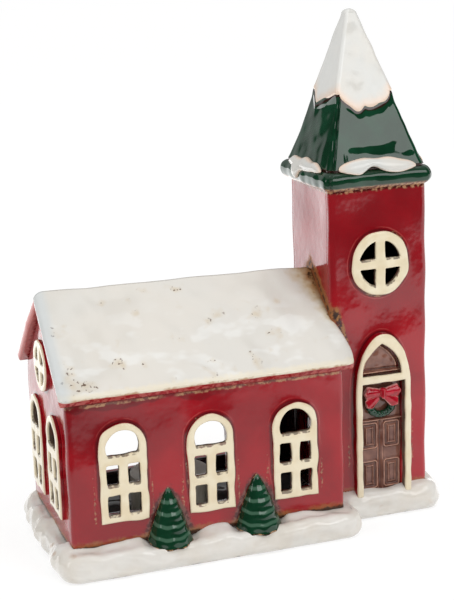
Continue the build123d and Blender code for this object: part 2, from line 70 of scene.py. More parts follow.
_, base_high = corners("snow_base")
front_low, front_high = corners("nave_front_wall")
roof_low, roof_high = corners("roof_front_slab")
tower_low, tower_high = corners("tower_front_wall")
spire_low, spire_high = corners("spire")
x_left, x_join, x_right = front_low[0], front_high[0], tower_high[0]
y_nave, y_tower = -front_low[1], -tower_low[1]
z_floor, z_tower, z_ridge = base_high[2], tower_high[2], roof_high[2]
wall_thickness = front_high[1] - front_low[1]
x_tower = (tower_low[0] + tower_high[0]) / 2
roof_pitch = np.radians(41.5)
roof_slope = np.tan(roof_pitch)
roof_thickness = 5.5
z_ridge_under = z_ridge - roof_thickness / np.cos(roof_pitch)
z_eave = roof_low[2]
print("nave", x_left, "to", x_join, "tower to", x_right, "ridge", z_ridge, "spire tip", spire_high[2])

# %% [markdown]
# ## Camera
#
# The camera stands where the photographer's stood: in front, to the left and a little above. It could be
# aimed by eye. It was fitted to the straight edges of the building instead, so that edges can be compared
# one by one, and its place is in the object's own frame. A long lens keeps the walls upright.

# %% Camera
eye = np.array([-227.95, -665.5, 289.1])
view_azimuth, view_elevation, view_roll = np.radians([-19.29, 13.52, -1.67])
photo_height = 600
focal_pixels = 1542.87
sensor = 36.0
middle_right, middle_up = 13.01, 22.9


def look_axes(azimuth, elevation, roll):
    """The camera's right, up and backward directions.

    Backward comes from the two angles, and the other two are turned about it by the roll."""
    backward = np.array([np.sin(azimuth) * np.cos(elevation), -np.cos(azimuth) * np.cos(elevation),
                         np.sin(elevation)])
    right = np.cross(UP, backward)
    right /= np.linalg.norm(right)
    upward = np.cross(backward, right)
    rolled_right = right * np.cos(roll) + upward * np.sin(roll)
    rolled_up = upward * np.cos(roll) - right * np.sin(roll)
    return rolled_right, rolled_up, backward


lens = bpy.data.cameras.new("camera")
lens.sensor_width = sensor
lens.lens = focal_pixels * sensor / photo_height
lens.shift_x = -middle_right / photo_height
lens.shift_y = -middle_up / photo_height
camera = bpy.data.objects.new("camera", lens)
pose = np.eye(4)
pose[:3, :3] = np.array(look_axes(view_azimuth, view_elevation, view_roll)).T
pose[:3, 3] = eye * MM
camera.matrix_world = Matrix(pose.tolist())
bpy.context.scene.collection.objects.link(camera)
bpy.context.scene.camera = camera
bpy.context.scene.view_settings.view_transform = "Standard"
print("lens", round(lens.lens, 2), "mm")

# %% [markdown]
# ## Sums between sockets
#
# A glaze is a lot of small sums: how near to an edge, how thick, how burnt. Written as nodes one by one
# they are hard to read, so a small class wraps a socket and turns Python's operators into Math nodes.


# %% Sums between sockets
class Wire:
    """A socket that Python can do sums with. Each sum adds a Math node to the same tree."""

    def __init__(self, owner, socket):
        self.owner = owner
        self.socket = socket

    def sum(self, operation, *values):
        return self.owner.node("ShaderNodeMath", {"operation": operation}, dict(enumerate(values)))

    def __add__(self, other):
        return self.sum("ADD", self, other)

    def __sub__(self, other):
        return self.sum("SUBTRACT", self, other)

    def __rsub__(self, other):
        return self.sum("SUBTRACT", other, self)

    def __mul__(self, other):
        return self.sum("MULTIPLY", self, other)

    def __abs__(self):
        return self.sum("ABSOLUTE", self)

    def most(self, other):
        return self.sum("MAXIMUM", self, other)

    def fade(self, start, end):
        """0 at start, 1 at end and smooth between them, whichever is the larger."""
        return self.owner.node("ShaderNodeMapRange", {"interpolation_type": "SMOOTHSTEP"},
                               {"Value": self, "From Min": start, "From Max": end})

    __radd__ = __add__
    __rmul__ = __mul__


# %% [markdown]
# ## Node trees
#
# A material or a world is a tree of nodes. Each kind of node could have a function of its own, but one
# method can add them all: it takes the node's type, its settings and its sockets. Only two that turn up
# everywhere, the mix of two colours and the test of a ray, get short names.


# %% Node trees
class Nodes:
    """A node tree in the making, and short ways to add nodes to it."""

    def __init__(self, tree):
        self.tree = tree
        self.tree.nodes.clear()

    def node(self, kind, settings={}, sockets={}, output=0):
        """Adds a node: its settings are set first, then each socket gets its value or its link."""
        made = self.tree.nodes.new(kind)
        for key, value in settings.items():
            setattr(made, key, value)
        for key, value in sockets.items():
            if isinstance(value, Wire):
                self.tree.links.new(value.socket, made.inputs[key])
            else:
                made.inputs[key].default_value = value
        return Wire(self, made.outputs[output]) if made.outputs else None

    def mix(self, share, first, second):
        """One colour going over into another as share goes from 0 to 1."""
        return self.node("ShaderNodeMix", {"data_type": "RGBA"}, {0: share, 6: first, 7: second}, output=2)

    def seen_by(self, ray):
        """1 for rays of one kind: Camera, Glossy or Transmission."""
        return self.node("ShaderNodeLightPath", output="Is " + ray + " Ray")


# %% [markdown]
# ## Finishes
#
# What a glaze does depends on where it lies: low on the wall, near an edge, under a window. So a finish
# starts from the place on the object, in millimetres, and from marks that the mesh carries. A picture
# wrapped round each piece could show the same, but it would have to be unwrapped and would blur close up.
# Noise and specks of a size in millimetres stay sharp.


# %% Finishes
class Finish(Nodes):
    """A material in the making. Places are the object's own, in millimetres."""

    def __init__(self, name):
        self.material = bpy.data.materials.new(name)
        self.material.use_nodes = True
        super().__init__(self.material.node_tree)
        place = self.node("ShaderNodeTexCoord", output="Object")
        self.place = self.node("ShaderNodeVectorMath", {"operation": "SCALE"},
                               {"Vector": place, "Scale": 1 / MM})

    def along(self, axis):
        """The millimetres along X, Y or Z."""
        return self.node("ShaderNodeSeparateXYZ", {}, {0: self.place}, output=axis)

    def mark(self, name):
        """A value that the mesh carries at its points."""
        return self.node("ShaderNodeAttribute", {"attribute_name": name}, output="Fac")

    def cloud(self, size, detail=3.0, stretch=(1.0, 1.0, 1.0)):
        """Soft noise between 0 and 1 in blots of about that many millimetres."""
        place = self.node("ShaderNodeVectorMath", {"operation": "MULTIPLY"}, {0: self.place, 1: stretch})
        return self.node("ShaderNodeTexNoise", {}, {"Vector": place, "Scale": 1 / size, "Detail": detail})

    def specks(self, spacing, radius):
        """1 in round specks that lie about spacing apart, fading to 0 at radius."""
        shift = self.node("ShaderNodeTexNoise", {}, {"Vector": self.place, "Scale": 1.4 / spacing},
                          output="Color")
        place = self.node("ShaderNodeVectorMath", {"operation": "MULTIPLY_ADD"},
                          {0: shift, 1: (spacing * 0.5,) * 3, 2: self.place})
        away = self.node("ShaderNodeTexVoronoi", {}, {"Vector": place, "Scale": 1 / spacing},
                         output="Distance")
        return (away * spacing).fade(radius, radius * 0.4)

    def done(self, colour, roughness, relief=None, depth=0.1, **constants):
        """Joins the colour, roughness and relief to the surface and returns the material."""
        sockets = {"Base Color": colour, "Roughness": roughness}
        if relief is not None:
            sockets["Normal"] = self.node("ShaderNodeBump", {}, {"Height": relief, "Distance": depth * MM})
        for key, value in constants.items():
            sockets[key.replace("_", " ").title().replace("Ior", "IOR")] = value
        surface = self.node("ShaderNodeBsdfPrincipled", {}, sockets)
        self.node("ShaderNodeOutputMaterial", {}, {"Surface": surface})
        print("finish", self.material.name, len(self.tree.nodes), "nodes")
        return self.material


# %% [markdown]
# ## Colours as light
#
# Screens keep brightness along a curve, while a shader takes plain amounts of light. Colours could be
# turned by hand. Two small functions do it, so that every glaze below can be given as it looks.


# %% Colours as light
def paint(red, green, blue):
    """A colour as it looks on a screen, 0 to 255, as the linear colour that a shader takes."""
    screen = np.array([red, green, blue]) / 255
    linear = np.where(screen <= 0.04045, screen / 12.92, ((screen + 0.055) / 1.055) ** 2.4)
    return (*linear.tolist(), 1.0)


def grey(level):
    """A linear grey, which may be brighter than white."""
    return (level, level, level, 1.0)


print("half of a screen's brightness is", round(paint(128, 128, 128)[0], 3), "as linear light")

# %% [markdown]
# ## Floor
#
# The object stands on a white sweep. What makes a glaze look like glass is what it mirrors: the red walls
# turn pink low down, where they mirror the white floor, and stay deep red higher up, where they mirror the
# dark room in front of the table. A sweep curved up behind could be built, but it would hide the object
# from the back. So the floor is a plain square with one colour for the camera, one for mirrors and one for
# everything else. The camera's share of the floor keeps the matt shadow under the object.

# %% Floor
floor_reach = 4000.0
floor_glow = 0.62
mirror_glow = 0.85
sweep_white = paint(240, 240, 239)
dark_room = grey(0.06)


def make_floor():
    """A plain square. In mirrors it is bright behind the object and dark beyond a slanting edge in front."""
    ring = np.array([(-1, -1, 0), (1, -1, 0), (1, 1, 0), (-1, 1, 0)]) * floor_reach * MM
    mesh = bpy.data.meshes.new("floor")
    mesh.from_pydata(ring.tolist(), [], [[0, 1, 2, 3]])
    finish = Finish("floor_white")
    x, y = finish.along("X"), finish.along("Y")
    matt = finish.node("ShaderNodeBsdfDiffuse", {}, {"Color": sweep_white})
    mirrored = finish.mix(y.fade(-420, -80), grey(1.0), grey(1.35))
    mirrored = finish.mix(y.fade(60, 560), mirrored, grey(2.8))
    mirrored = finish.mix(x.fade(90, 170), mirrored, grey(1.9))
    mirrored = finish.mix((y + x * 0.68).fade(-305, -215), dark_room, mirrored)
    by_camera = finish.seen_by("Camera")
    glow = finish.node("ShaderNodeEmission", {}, {"Color": finish.mix(by_camera, mirrored, grey(1.2))})
    share = by_camera * floor_glow + finish.seen_by("Glossy") * mirror_glow
    surface = finish.node("ShaderNodeMixShader", {}, {0: share, 1: matt, 2: glow})
    finish.node("ShaderNodeOutputMaterial", {}, {"Surface": surface})
    mesh.materials.append(finish.material)
    floor = bpy.data.objects.new("floor", mesh)
    bpy.context.scene.collection.objects.link(floor)


make_floor()
print("floor", 2 * floor_reach * MM, "m across")

# %% [markdown]
# ## World and lamps
#
# Soft light comes from all round, and three soft boxes give bright patches that the glazes mirror. A
# photographed studio wrapped round the scene could do both. An even world that is dark and grey in
# mirrors needs no picture: the fronts mirror a dark room, and the end walls the bright sweep behind.

# %% World and lamps
world_level = 0.78


def make_world():
    """White for the camera, an even soft level for light; in mirrors dark, but for a grey back and top."""
    world = bpy.data.worlds.new("studio")
    world.use_nodes = True
    nodes = Nodes(world.node_tree)
    way = nodes.node("ShaderNodeTexCoord", output="Generated")
    back = nodes.node("ShaderNodeSeparateXYZ", {}, {0: way}, output="Y")
    rise = nodes.node("ShaderNodeSeparateXYZ", {}, {0: way}, output="Z")
    right = nodes.node("ShaderNodeSeparateXYZ", {}, {0: way}, output="X")
    mirrored = nodes.mix(back.fade(-0.1, 0.75), dark_room, grey(0.55))
    mirrored = nodes.mix(right.fade(-0.44, -0.54), mirrored, dark_room)
    mirrored = nodes.mix(rise.fade(0.6, 0.9), mirrored, grey(0.7))
    colour = nodes.mix(nodes.seen_by("Glossy"), grey(world_level), mirrored)
    colour = nodes.mix(nodes.seen_by("Camera").most(nodes.seen_by("Transmission")), colour, grey(1.0))
    surface = nodes.node("ShaderNodeBackground", {}, {"Color": colour})
    nodes.node("ShaderNodeOutputWorld", {}, {"Surface": surface})
    bpy.context.scene.world = world


def softbox(name, place, target, width, height, level):
    """A flat lamp that faces target.

    level is the brightness of its face, so its power is level x pi x area."""
    lamp = bpy.data.lights.new(name, "AREA")
    lamp.shape = "RECTANGLE"
    lamp.size = width * MM
    lamp.size_y = height * MM
    lamp.energy = level * np.pi * width * height * MM * MM
    back = np.array(place, float) - np.array(target, float)
    back /= np.linalg.norm(back)
    right = np.cross(UP, back)
    right /= np.linalg.norm(right)
    matrix = np.eye(4)
    matrix[:3, :3] = np.array([right, np.cross(back, right), back]).T
    matrix[:3, 3] = np.array(place) * MM
    thing = bpy.data.objects.new(name, lamp)
    thing.matrix_world = Matrix(matrix.tolist())
    bpy.context.scene.collection.objects.link(thing)


make_world()
object_middle = (0.0, 0.0, 100.0)
softbox("lamp_over", (210, -170, 860), object_middle, 330, 240, 1.5)
softbox("lamp_front", (370, -793, 585), object_middle, 560, 330, 3.4)
softbox("lamp_left", (-700, -330, 520), object_middle, 220, 380, 3.5)
print("lamps:", [(lamp.name, round(lamp.energy, 2)) for lamp in bpy.data.lights])

# %% [markdown]
# ## Grids
#
# Most pieces are a grid: a formula of two parameters, worked out for all points at once. They could be
# cubes with bevels. A formula gives every edge its own softness and every face its own unevenness, and it
# can say more about each point, such as how sharply the surface bends there. Door, wreath, bow, base,
# trees, roof, spire and its snow are grids whose rows are closed loops.


# %% Helpers for grids and marks
def ripple(points, size, seed):
    """Hand-made unevenness of about -1 to 1: the sum of sine waves of that size in many seeded directions."""
    rng = np.random.default_rng(seed)
    count = 12
    waves = rng.normal(size=(count, 3))
    lengths = np.linalg.norm(waves, axis=1, keepdims=True)
    waves *= 2 * np.pi / size / lengths * rng.uniform(0.6, 1.3, (count, 1))
    return np.sin(points @ waves.T + rng.uniform(0, 2 * np.pi, count)).sum(-1) / np.sqrt(count * 1.5)


def grid_faces(rows, columns, wrap=False):
    """The quads between neighbours in a grid of points; wrap joins the last column to the first."""
    start = np.arange(rows - 1)[:, None] * columns
    here = np.arange(columns if wrap else columns - 1)[None]
    after = (here + 1) % columns
    quads = np.stack([start + here, start + after, start + columns + after, start + columns + here], -1)
    return quads.reshape(-1, 4)


def bends(points, faces, rounds):
    """How sharply the surface bends at each point: positive on edges, negative in corners.

    That is how far the neighbours lie under the point's tangent plane, divided by their distance squared,
    and averaged with the neighbours a few times."""
    across = points[faces[:, 2]] - points[faces[:, 0]]
    normal_of_face = np.cross(across, points[faces[:, 3]] - points[faces[:, 1]])
    normal = np.zeros_like(points)
    for corner in range(4):
        for axis in range(3):
            normal[:, axis] += np.bincount(faces[:, corner], normal_of_face[:, axis], len(points))
    normal /= np.maximum(np.linalg.norm(normal, axis=1, keepdims=True), 1e-9)
    here = np.concatenate([faces, faces], 1).ravel()
    there = np.concatenate([np.roll(faces, -1, 1), np.roll(faces, 1, 1)], 1).ravel()
    step = points[here] - points[there]
    span = np.maximum((step ** 2).sum(1), 1e-4)
    number = np.maximum(np.bincount(here, minlength=len(points)), 1)
    bend = np.bincount(here, (step * normal[here]).sum(1) / span, len(points)) / number
    for _ in range(rounds):
        bend = (bend + np.bincount(here, bend[there], len(points)) / number) / 2
    return bend


stick = np.linspace(0, 100, 400)[:, None] * UP
print("unevenness up 100 mm:", ripple(stick, 26, 4).min().round(2), "to", ripple(stick, 26, 4).max().round(2))

# %% [markdown]
# ## Pieces
#
# A piece of the building is a mesh with a finish that rides on the house and stands in for one node of the
# frame. Each could be put together on its own. One function does it for all: it sets points, quads and
# marks, joins points that fall together and hides the nodes of the frame that the piece replaces.


# %% Pieces
def make_piece(name, points, faces, finish, nodes=None, body="house", weld=False, marks={}):
    """Puts points and quads into a mesh with its marks, gives it its finish and seats it in the frame."""
    points = points.reshape(-1, 3)
    mesh = bpy.data.meshes.new(name)
    mesh.vertices.add(len(points))
    mesh.vertices.foreach_set("co", (points * MM).ravel().astype(np.float32))
    mesh.loops.add(faces.size)
    mesh.loops.foreach_set("vertex_index", faces.ravel().astype(np.int32))
    mesh.polygons.add(len(faces))
    mesh.polygons.foreach_set("loop_start", np.arange(0, faces.size, 4, dtype=np.int32))
    mesh.update(calc_edges=True)
    marks = {"bend": bends(points, faces, 2), **marks}
    for key, value in marks.items():
        layer = mesh.attributes.new(key, "FLOAT", "POINT")
        layer.data.foreach_set("value", np.broadcast_to(value, len(points)).ravel().astype(np.float32))
    if weld:
        made = bmesh.new()
        made.from_mesh(mesh)
        bmesh.ops.remove_doubles(made, verts=made.verts, dist=1e-6)
        bmesh.ops.recalc_face_normals(made, faces=made.faces)
        made.to_mesh(mesh)
        made.free()
    mesh.shade_smooth()
    mesh.materials.append(finish)
    piece = bpy.data.objects.new(name, mesh)
    bpy.context.scene.collection.objects.link(piece)
    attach(piece, body)
    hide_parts(*(nodes or [name]))
    print(name, len(mesh.polygons), "faces")
    return piece


def make_loops(name, points, finish, slot, node, **marks):
    """A piece from one or more grids whose rows are closed loops, welded where a loop shrinks to a line."""
    rows, columns = points.shape[-3:-1]
    quads = grid_faces(rows, columns, wrap=True)
    starts = range(0, points.size // 3, rows * columns)
    faces = np.concatenate([quads + start for start in starts])
    marks = {key: np.ravel(value) for key, value in marks.items()}
    return make_piece(name, points, faces, finish, [node], weld=True, marks=marks)


# %% [markdown]
# ## Distances to flat shapes
#
# Walls, windows and panes are flat shapes: rectangles, arches and circles. They could be outlines of
# points. Here each is a function that gives the distance to its outline, negative inside. The larger of two
# distances is what both shapes share, and rounding that choice rounds the edge between them.


# %% Distances to flat shapes
def both(first, second, edge):
    """The distance to what two solids share, with the edge between them rounded: a rounded maximum."""
    a, b = first + edge, second + edge
    return np.hypot(np.maximum(a, 0), np.maximum(b, 0)) + np.minimum(np.maximum(a, b), 0) - edge


def rectangle(u, v, half_u, half_v, corner=0.0):
    """The distance to a rectangle about the origin, negative inside it."""
    return both(np.abs(u) - half_u, np.abs(v) - half_v, corner)


def arch(u, v, width, height):
    """The distance to a round-headed arch on the origin: its sides and foot below, a circle above."""
    spring = height - width / 2
    return np.where(v > spring, np.hypot(u, v - spring) - width / 2, np.maximum(np.abs(u) - width / 2, -v))


def oval_arch(u, v, width, height, rise):
    """The distance to an arch on the origin with half an ellipse of that rise for a head."""
    half = width / 2
    over = np.maximum(v - height + rise, 0)
    ring = np.hypot(u / half, over / rise)
    steep = np.maximum(np.hypot(u / half ** 2, over / rise ** 2), 1e-6)
    return np.maximum(ring * (ring - 1) / steep, -v)


print("from the middle of a 4 by 2 mm rectangle:", rectangle(0.0, 0.0, 2.0, 1.0), "mm")

# %% [markdown]
# ## Skins
#
# Pierced pieces, such as a wall with windows, can't be one grid. Holes could be cut with Boolean modifiers,
# which leave sharp rims and long thin faces. Here a formula gives the distance from any point to the clay's
# surface, and a skin is drawn where that distance is zero. Edges rounded by the formula come out as soft as
# wet clay leaves them.


# %% Skins
def skin(gap, low, high, cell):
    """Draws the surface where gap(points) is zero, as points and quads.

    Each small cube that the surface crosses gets a point, the mean of the crossings on its edges, and each
    crossed edge gets the quad of the four cubes round it. Two steps along the slope of gap then bring the
    points onto zero."""
    axes = [np.arange(a, b + cell, cell) for a, b in zip(low, high)]
    value = gap(np.stack(np.meshgrid(*axes, indexing="ij"), -1))
    shape = [n - 1 for n in value.shape]
    total = np.zeros((*shape, 3))
    count = np.zeros(shape)
    sides = []
    for axis in range(3):
        others = [a for a in range(3) if a != axis]
        for offset in np.ndindex(2, 2):
            near = [slice(0, n) for n in shape]
            for other, step in zip(others, offset):
                near[other] = slice(step, step + shape[other])
            far = list(near)
            far[axis] = slice(1, shape[axis] + 1)
            a, b = value[tuple(near)], value[tuple(far)]
            crossed = (a < 0) != (b < 0)
            total[..., axis] += np.where(crossed, a / np.where(crossed, a - b, 1), 0)
            for other, step in zip(others, offset):
                total[..., other] += crossed * step
            count += crossed
    used = count > 0
    number = np.full(shape, -1)
    number[used] = np.arange(used.sum())
    points = np.array(low) + cell * (np.argwhere(used) + total[used] / count[used][:, None])
    for axis in range(3):
        others = [a for a in range(3) if a != axis]
        near = [slice(1, n) for n in shape]
        near[axis] = slice(0, shape[axis])
        far = list(near)
        far[axis] = slice(1, shape[axis] + 1)
        within = value[tuple(near)] < 0
        crossed = within != (value[tuple(far)] < 0)
        ring = []
        for offset in ((0, 0), (1, 0), (1, 1), (0, 1)):
            part = [slice(None)] * 3
            for other, step in zip(others, offset):
                part[other] = slice(step, shape[other] - 1 + step)
            ring.append(number[tuple(part)][crossed])
        quads = np.stack(ring, -1)
        turned = within[crossed] == (axis == 1)
        sides.append(np.where(turned[:, None], quads[:, ::-1], quads))
    probe = cell * 0.2
    for _ in range(2):
        change = [gap(points + probe * d) - gap(points - probe * d) for d in np.eye(3)]
        slope = np.stack(change, -1) / (2 * probe)
        step = gap(points)[:, None] * slope / np.maximum((slope ** 2).sum(1, keepdims=True), 0.3)
        points = points - np.clip(step, -cell / 2, cell / 2)
    return points, np.concatenate(sides)


marble, _ = skin(lambda places: np.linalg.norm(places, axis=-1) - 5.0, (-7, -7, -7), (7, 7, 7), 1.0)
print("skin of a 5 mm marble: radius", np.linalg.norm(marble, axis=1).mean().round(3), "mm")

# %% [markdown]
# ## Places on walls
#
# Windows and doors are laid out on a wall as they would be on a bench: along it, up it and out of it.
# Turned objects could do the same. A small class turns such places into places on the building, so that one
# formula serves all eight walls.


# %% Places on walls
class WallFace:
    """A place on a wall: local points are (along the wall, up, outwards) from its origin."""

    def __init__(self, origin, out):
        self.origin = np.array(origin, float)
        self.out = np.array(out, float)
        self.axes = np.array([np.cross(UP, self.out), UP, self.out])

    def world(self, local):
        return local @ self.axes + self.origin

    def local(self, points):
        return (points - self.origin) @ self.axes.T

    def room(self, node):
        """A node's lowest and highest corners, seen from this place."""
        ends = [self.local(corner) for corner in corners(node)]
        return np.minimum(*ends), np.maximum(*ends)


FRONT, BACK, LEFT, RIGHT = (0, -1, 0), (0, 1, 0), (-1, 0, 0), (1, 0, 0)
print("out of the front wall is", WallFace((0, 0, 0), FRONT).world(UP))

# %% [markdown]
# ## Colours of the glazes
#
# Red, white, cream, green and brown glazes cover the building, each in a few shades: deep where it lies
# thick, pale where it is thin, burnt in the joints. The shades could be chosen inside each material. They
# are named here once, because several glazes share them.

# %% Colours of the glazes
deep_red = paint(138, 4, 18)
warm_red = paint(160, 9, 24)
painted_light_red = paint(180, 16, 34)
pooled_and_shade_red = paint(88, 2, 10)
thin_red = paint(196, 100, 92)
burnt = paint(44, 22, 14)
ochre = paint(156, 104, 52)
ochre_haze = paint(196, 172, 128)
tan = paint(184, 142, 106)
dusk = paint(112, 82, 70)
snow_white = paint(228, 225, 219)
snow_shade = paint(221, 215, 205)
roof_white = paint(216, 213, 206)
painted_light_white = paint(236, 236, 233)
shaded_white = paint(206, 213, 216)
peach = paint(236, 206, 182)
cream = paint(235, 223, 195)
cream_shade = paint(224, 206, 170)
deep_green = paint(8, 48, 28)
mid_green = paint(16, 62, 40)
light_green = paint(40, 84, 64)
deep_brown = paint(110, 68, 56)
light_brown = paint(140, 95, 79)
thin_brown = paint(216, 166, 140)
painted_shade_dark = paint(36, 16, 15)
print("reds from", np.round(deep_red[:3], 3), "to", np.round(painted_light_red[:3], 3))

# %% [markdown]
# ## Glazes
#
# A glaze is thin on sharp edges, where the pale clay shines through, and pools dark in corners. In joints
# it burns brown. Every piece could be painted by hand. All glazes here share one rule instead: the mesh
# carries a mark of how sharply it bends, and the colour follows it, so that each shape brings its own
# paint.


# %% Glazes
def thin_and_pooled(finish, colour, thin, edge, pooled, corner, jitter=0.25):
    """Pale where the bend is past edge, dark where it is past corner the other way, with a ragged border."""
    bend = finish.mark("bend")
    grain = (finish.cloud(2.6) - 0.5) * jitter
    colour = finish.mix((bend + grain).fade(edge, edge * 2.4) * 0.75, colour, thin)
    return finish.mix((grain * 0.5 - bend).fade(corner, corner * 5) * 0.65, colour, pooled)


def red_coat(finish):
    """Red glaze: deeper in slow blots, with a few dark pinholes."""
    colour = finish.mix(finish.cloud(24).fade(0.35, 0.68), deep_red, warm_red)
    colour = thin_and_pooled(finish, colour, thin_red, 0.17, pooled_and_shade_red, 0.04)
    return finish.mix(finish.specks(11.0, 0.45) * finish.cloud(30).fade(0.5, 0.62) * 0.7, colour, burnt)


def snow_coat(finish):
    """White glaze: cream in slow blots, with brown specks in ochre haloes that gather in places."""
    colour = finish.mix(finish.cloud(13).fade(0.35, 0.7), snow_white, snow_shade)
    gathered = finish.cloud(22).fade(0.5, 0.64)
    colour = finish.mix(finish.specks(12.0, 2.6) * gathered * 0.42, colour, tan)
    colour = finish.mix(finish.specks(12.0, 0.6) * gathered * 0.85, colour, burnt)
    return thin_and_pooled(finish, colour, peach, 0.3, tan, 0.1, 0.3)


def cream_coat(finish):
    """Cream glaze: a little darker in blots, peach on its edges."""
    colour = finish.mix(finish.cloud(7.0).fade(0.35, 0.7) * 0.6, cream, cream_shade)
    return thin_and_pooled(finish, colour, tan, 0.45, ochre, 0.1, 0.4)


def green_coat(finish):
    """Green glaze: lighter in blots and where it thins, almost black in hollows."""
    colour = finish.mix(finish.cloud(12).fade(0.35, 0.7), deep_green, mid_green)
    return thin_and_pooled(finish, colour, light_green, 0.3, paint(6, 20, 14), 0.06)


def brown_coat(finish):
    """Brown glaze: tan lines where it thins on mouldings, dark in grooves."""
    colour = finish.mix(finish.cloud(6.0).fade(0.35, 0.7), deep_brown, light_brown)
    return thin_and_pooled(finish, colour, thin_brown, 0.28, paint(44, 22, 18), 0.1, 0.4)


def gloss(finish):
    """A glassy glaze's roughness, a little duller in blots."""
    return finish.cloud(16) * 0.1 + 0.03


def pour(finish):
    """The glaze's own relief: slow swells, and a fine orange peel."""
    return finish.cloud(9.0, 2.0) + finish.cloud(1.6, 2.0) * 0.04


def plain_glaze(name, coat, swell):
    """One glaze all over a piece; swell is the depth of its relief."""
    finish = Finish(name)
    return finish.done(coat(finish), gloss(finish), pour(finish), swell, ior=1.5)


def two_glazes(name, under, over, line, width):
    """A piece in two glazes: under where the mark coat is 0, over where it is 1, and a ragged line between.

    Where the mark hidden is 1, deep in a pane, its sides are darker, and crumbs lie where the mark sill is."""
    finish = Finish(name)
    coat = finish.mark("coat") + (finish.cloud(2.4) - 0.5) * 0.3
    colour = finish.mix(coat.fade(0.46, 0.54), under(finish), over(finish))
    colour = finish.mix(abs(coat - 0.5).fade(width, width * 0.2) * 0.8, colour, line)
    hidden = (finish.mark("hidden") + (finish.cloud(2.0) - 0.5) * 0.5).fade(0.3, 0.75)
    crumbs = (finish.mark("sill") + (finish.cloud(2.2) - 0.5) * 1.4).fade(0.8, 1.1)
    dark = finish.mix(finish.cloud(3.0).fade(0.5, 0.62), paint(62, 36, 28), pooled_and_shade_red)
    colour = finish.mix((hidden * 0.9).most(crumbs * 0.75), colour, dark)
    return finish.done(colour, gloss(finish), pour(finish), 0.25, ior=1.5)


brown_glaze = plain_glaze("brown_glaze", brown_coat, 0.2)
plaque_glaze = two_glazes("plaque_glaze", red_coat, cream_coat, paint(216, 142, 124), 0.28)
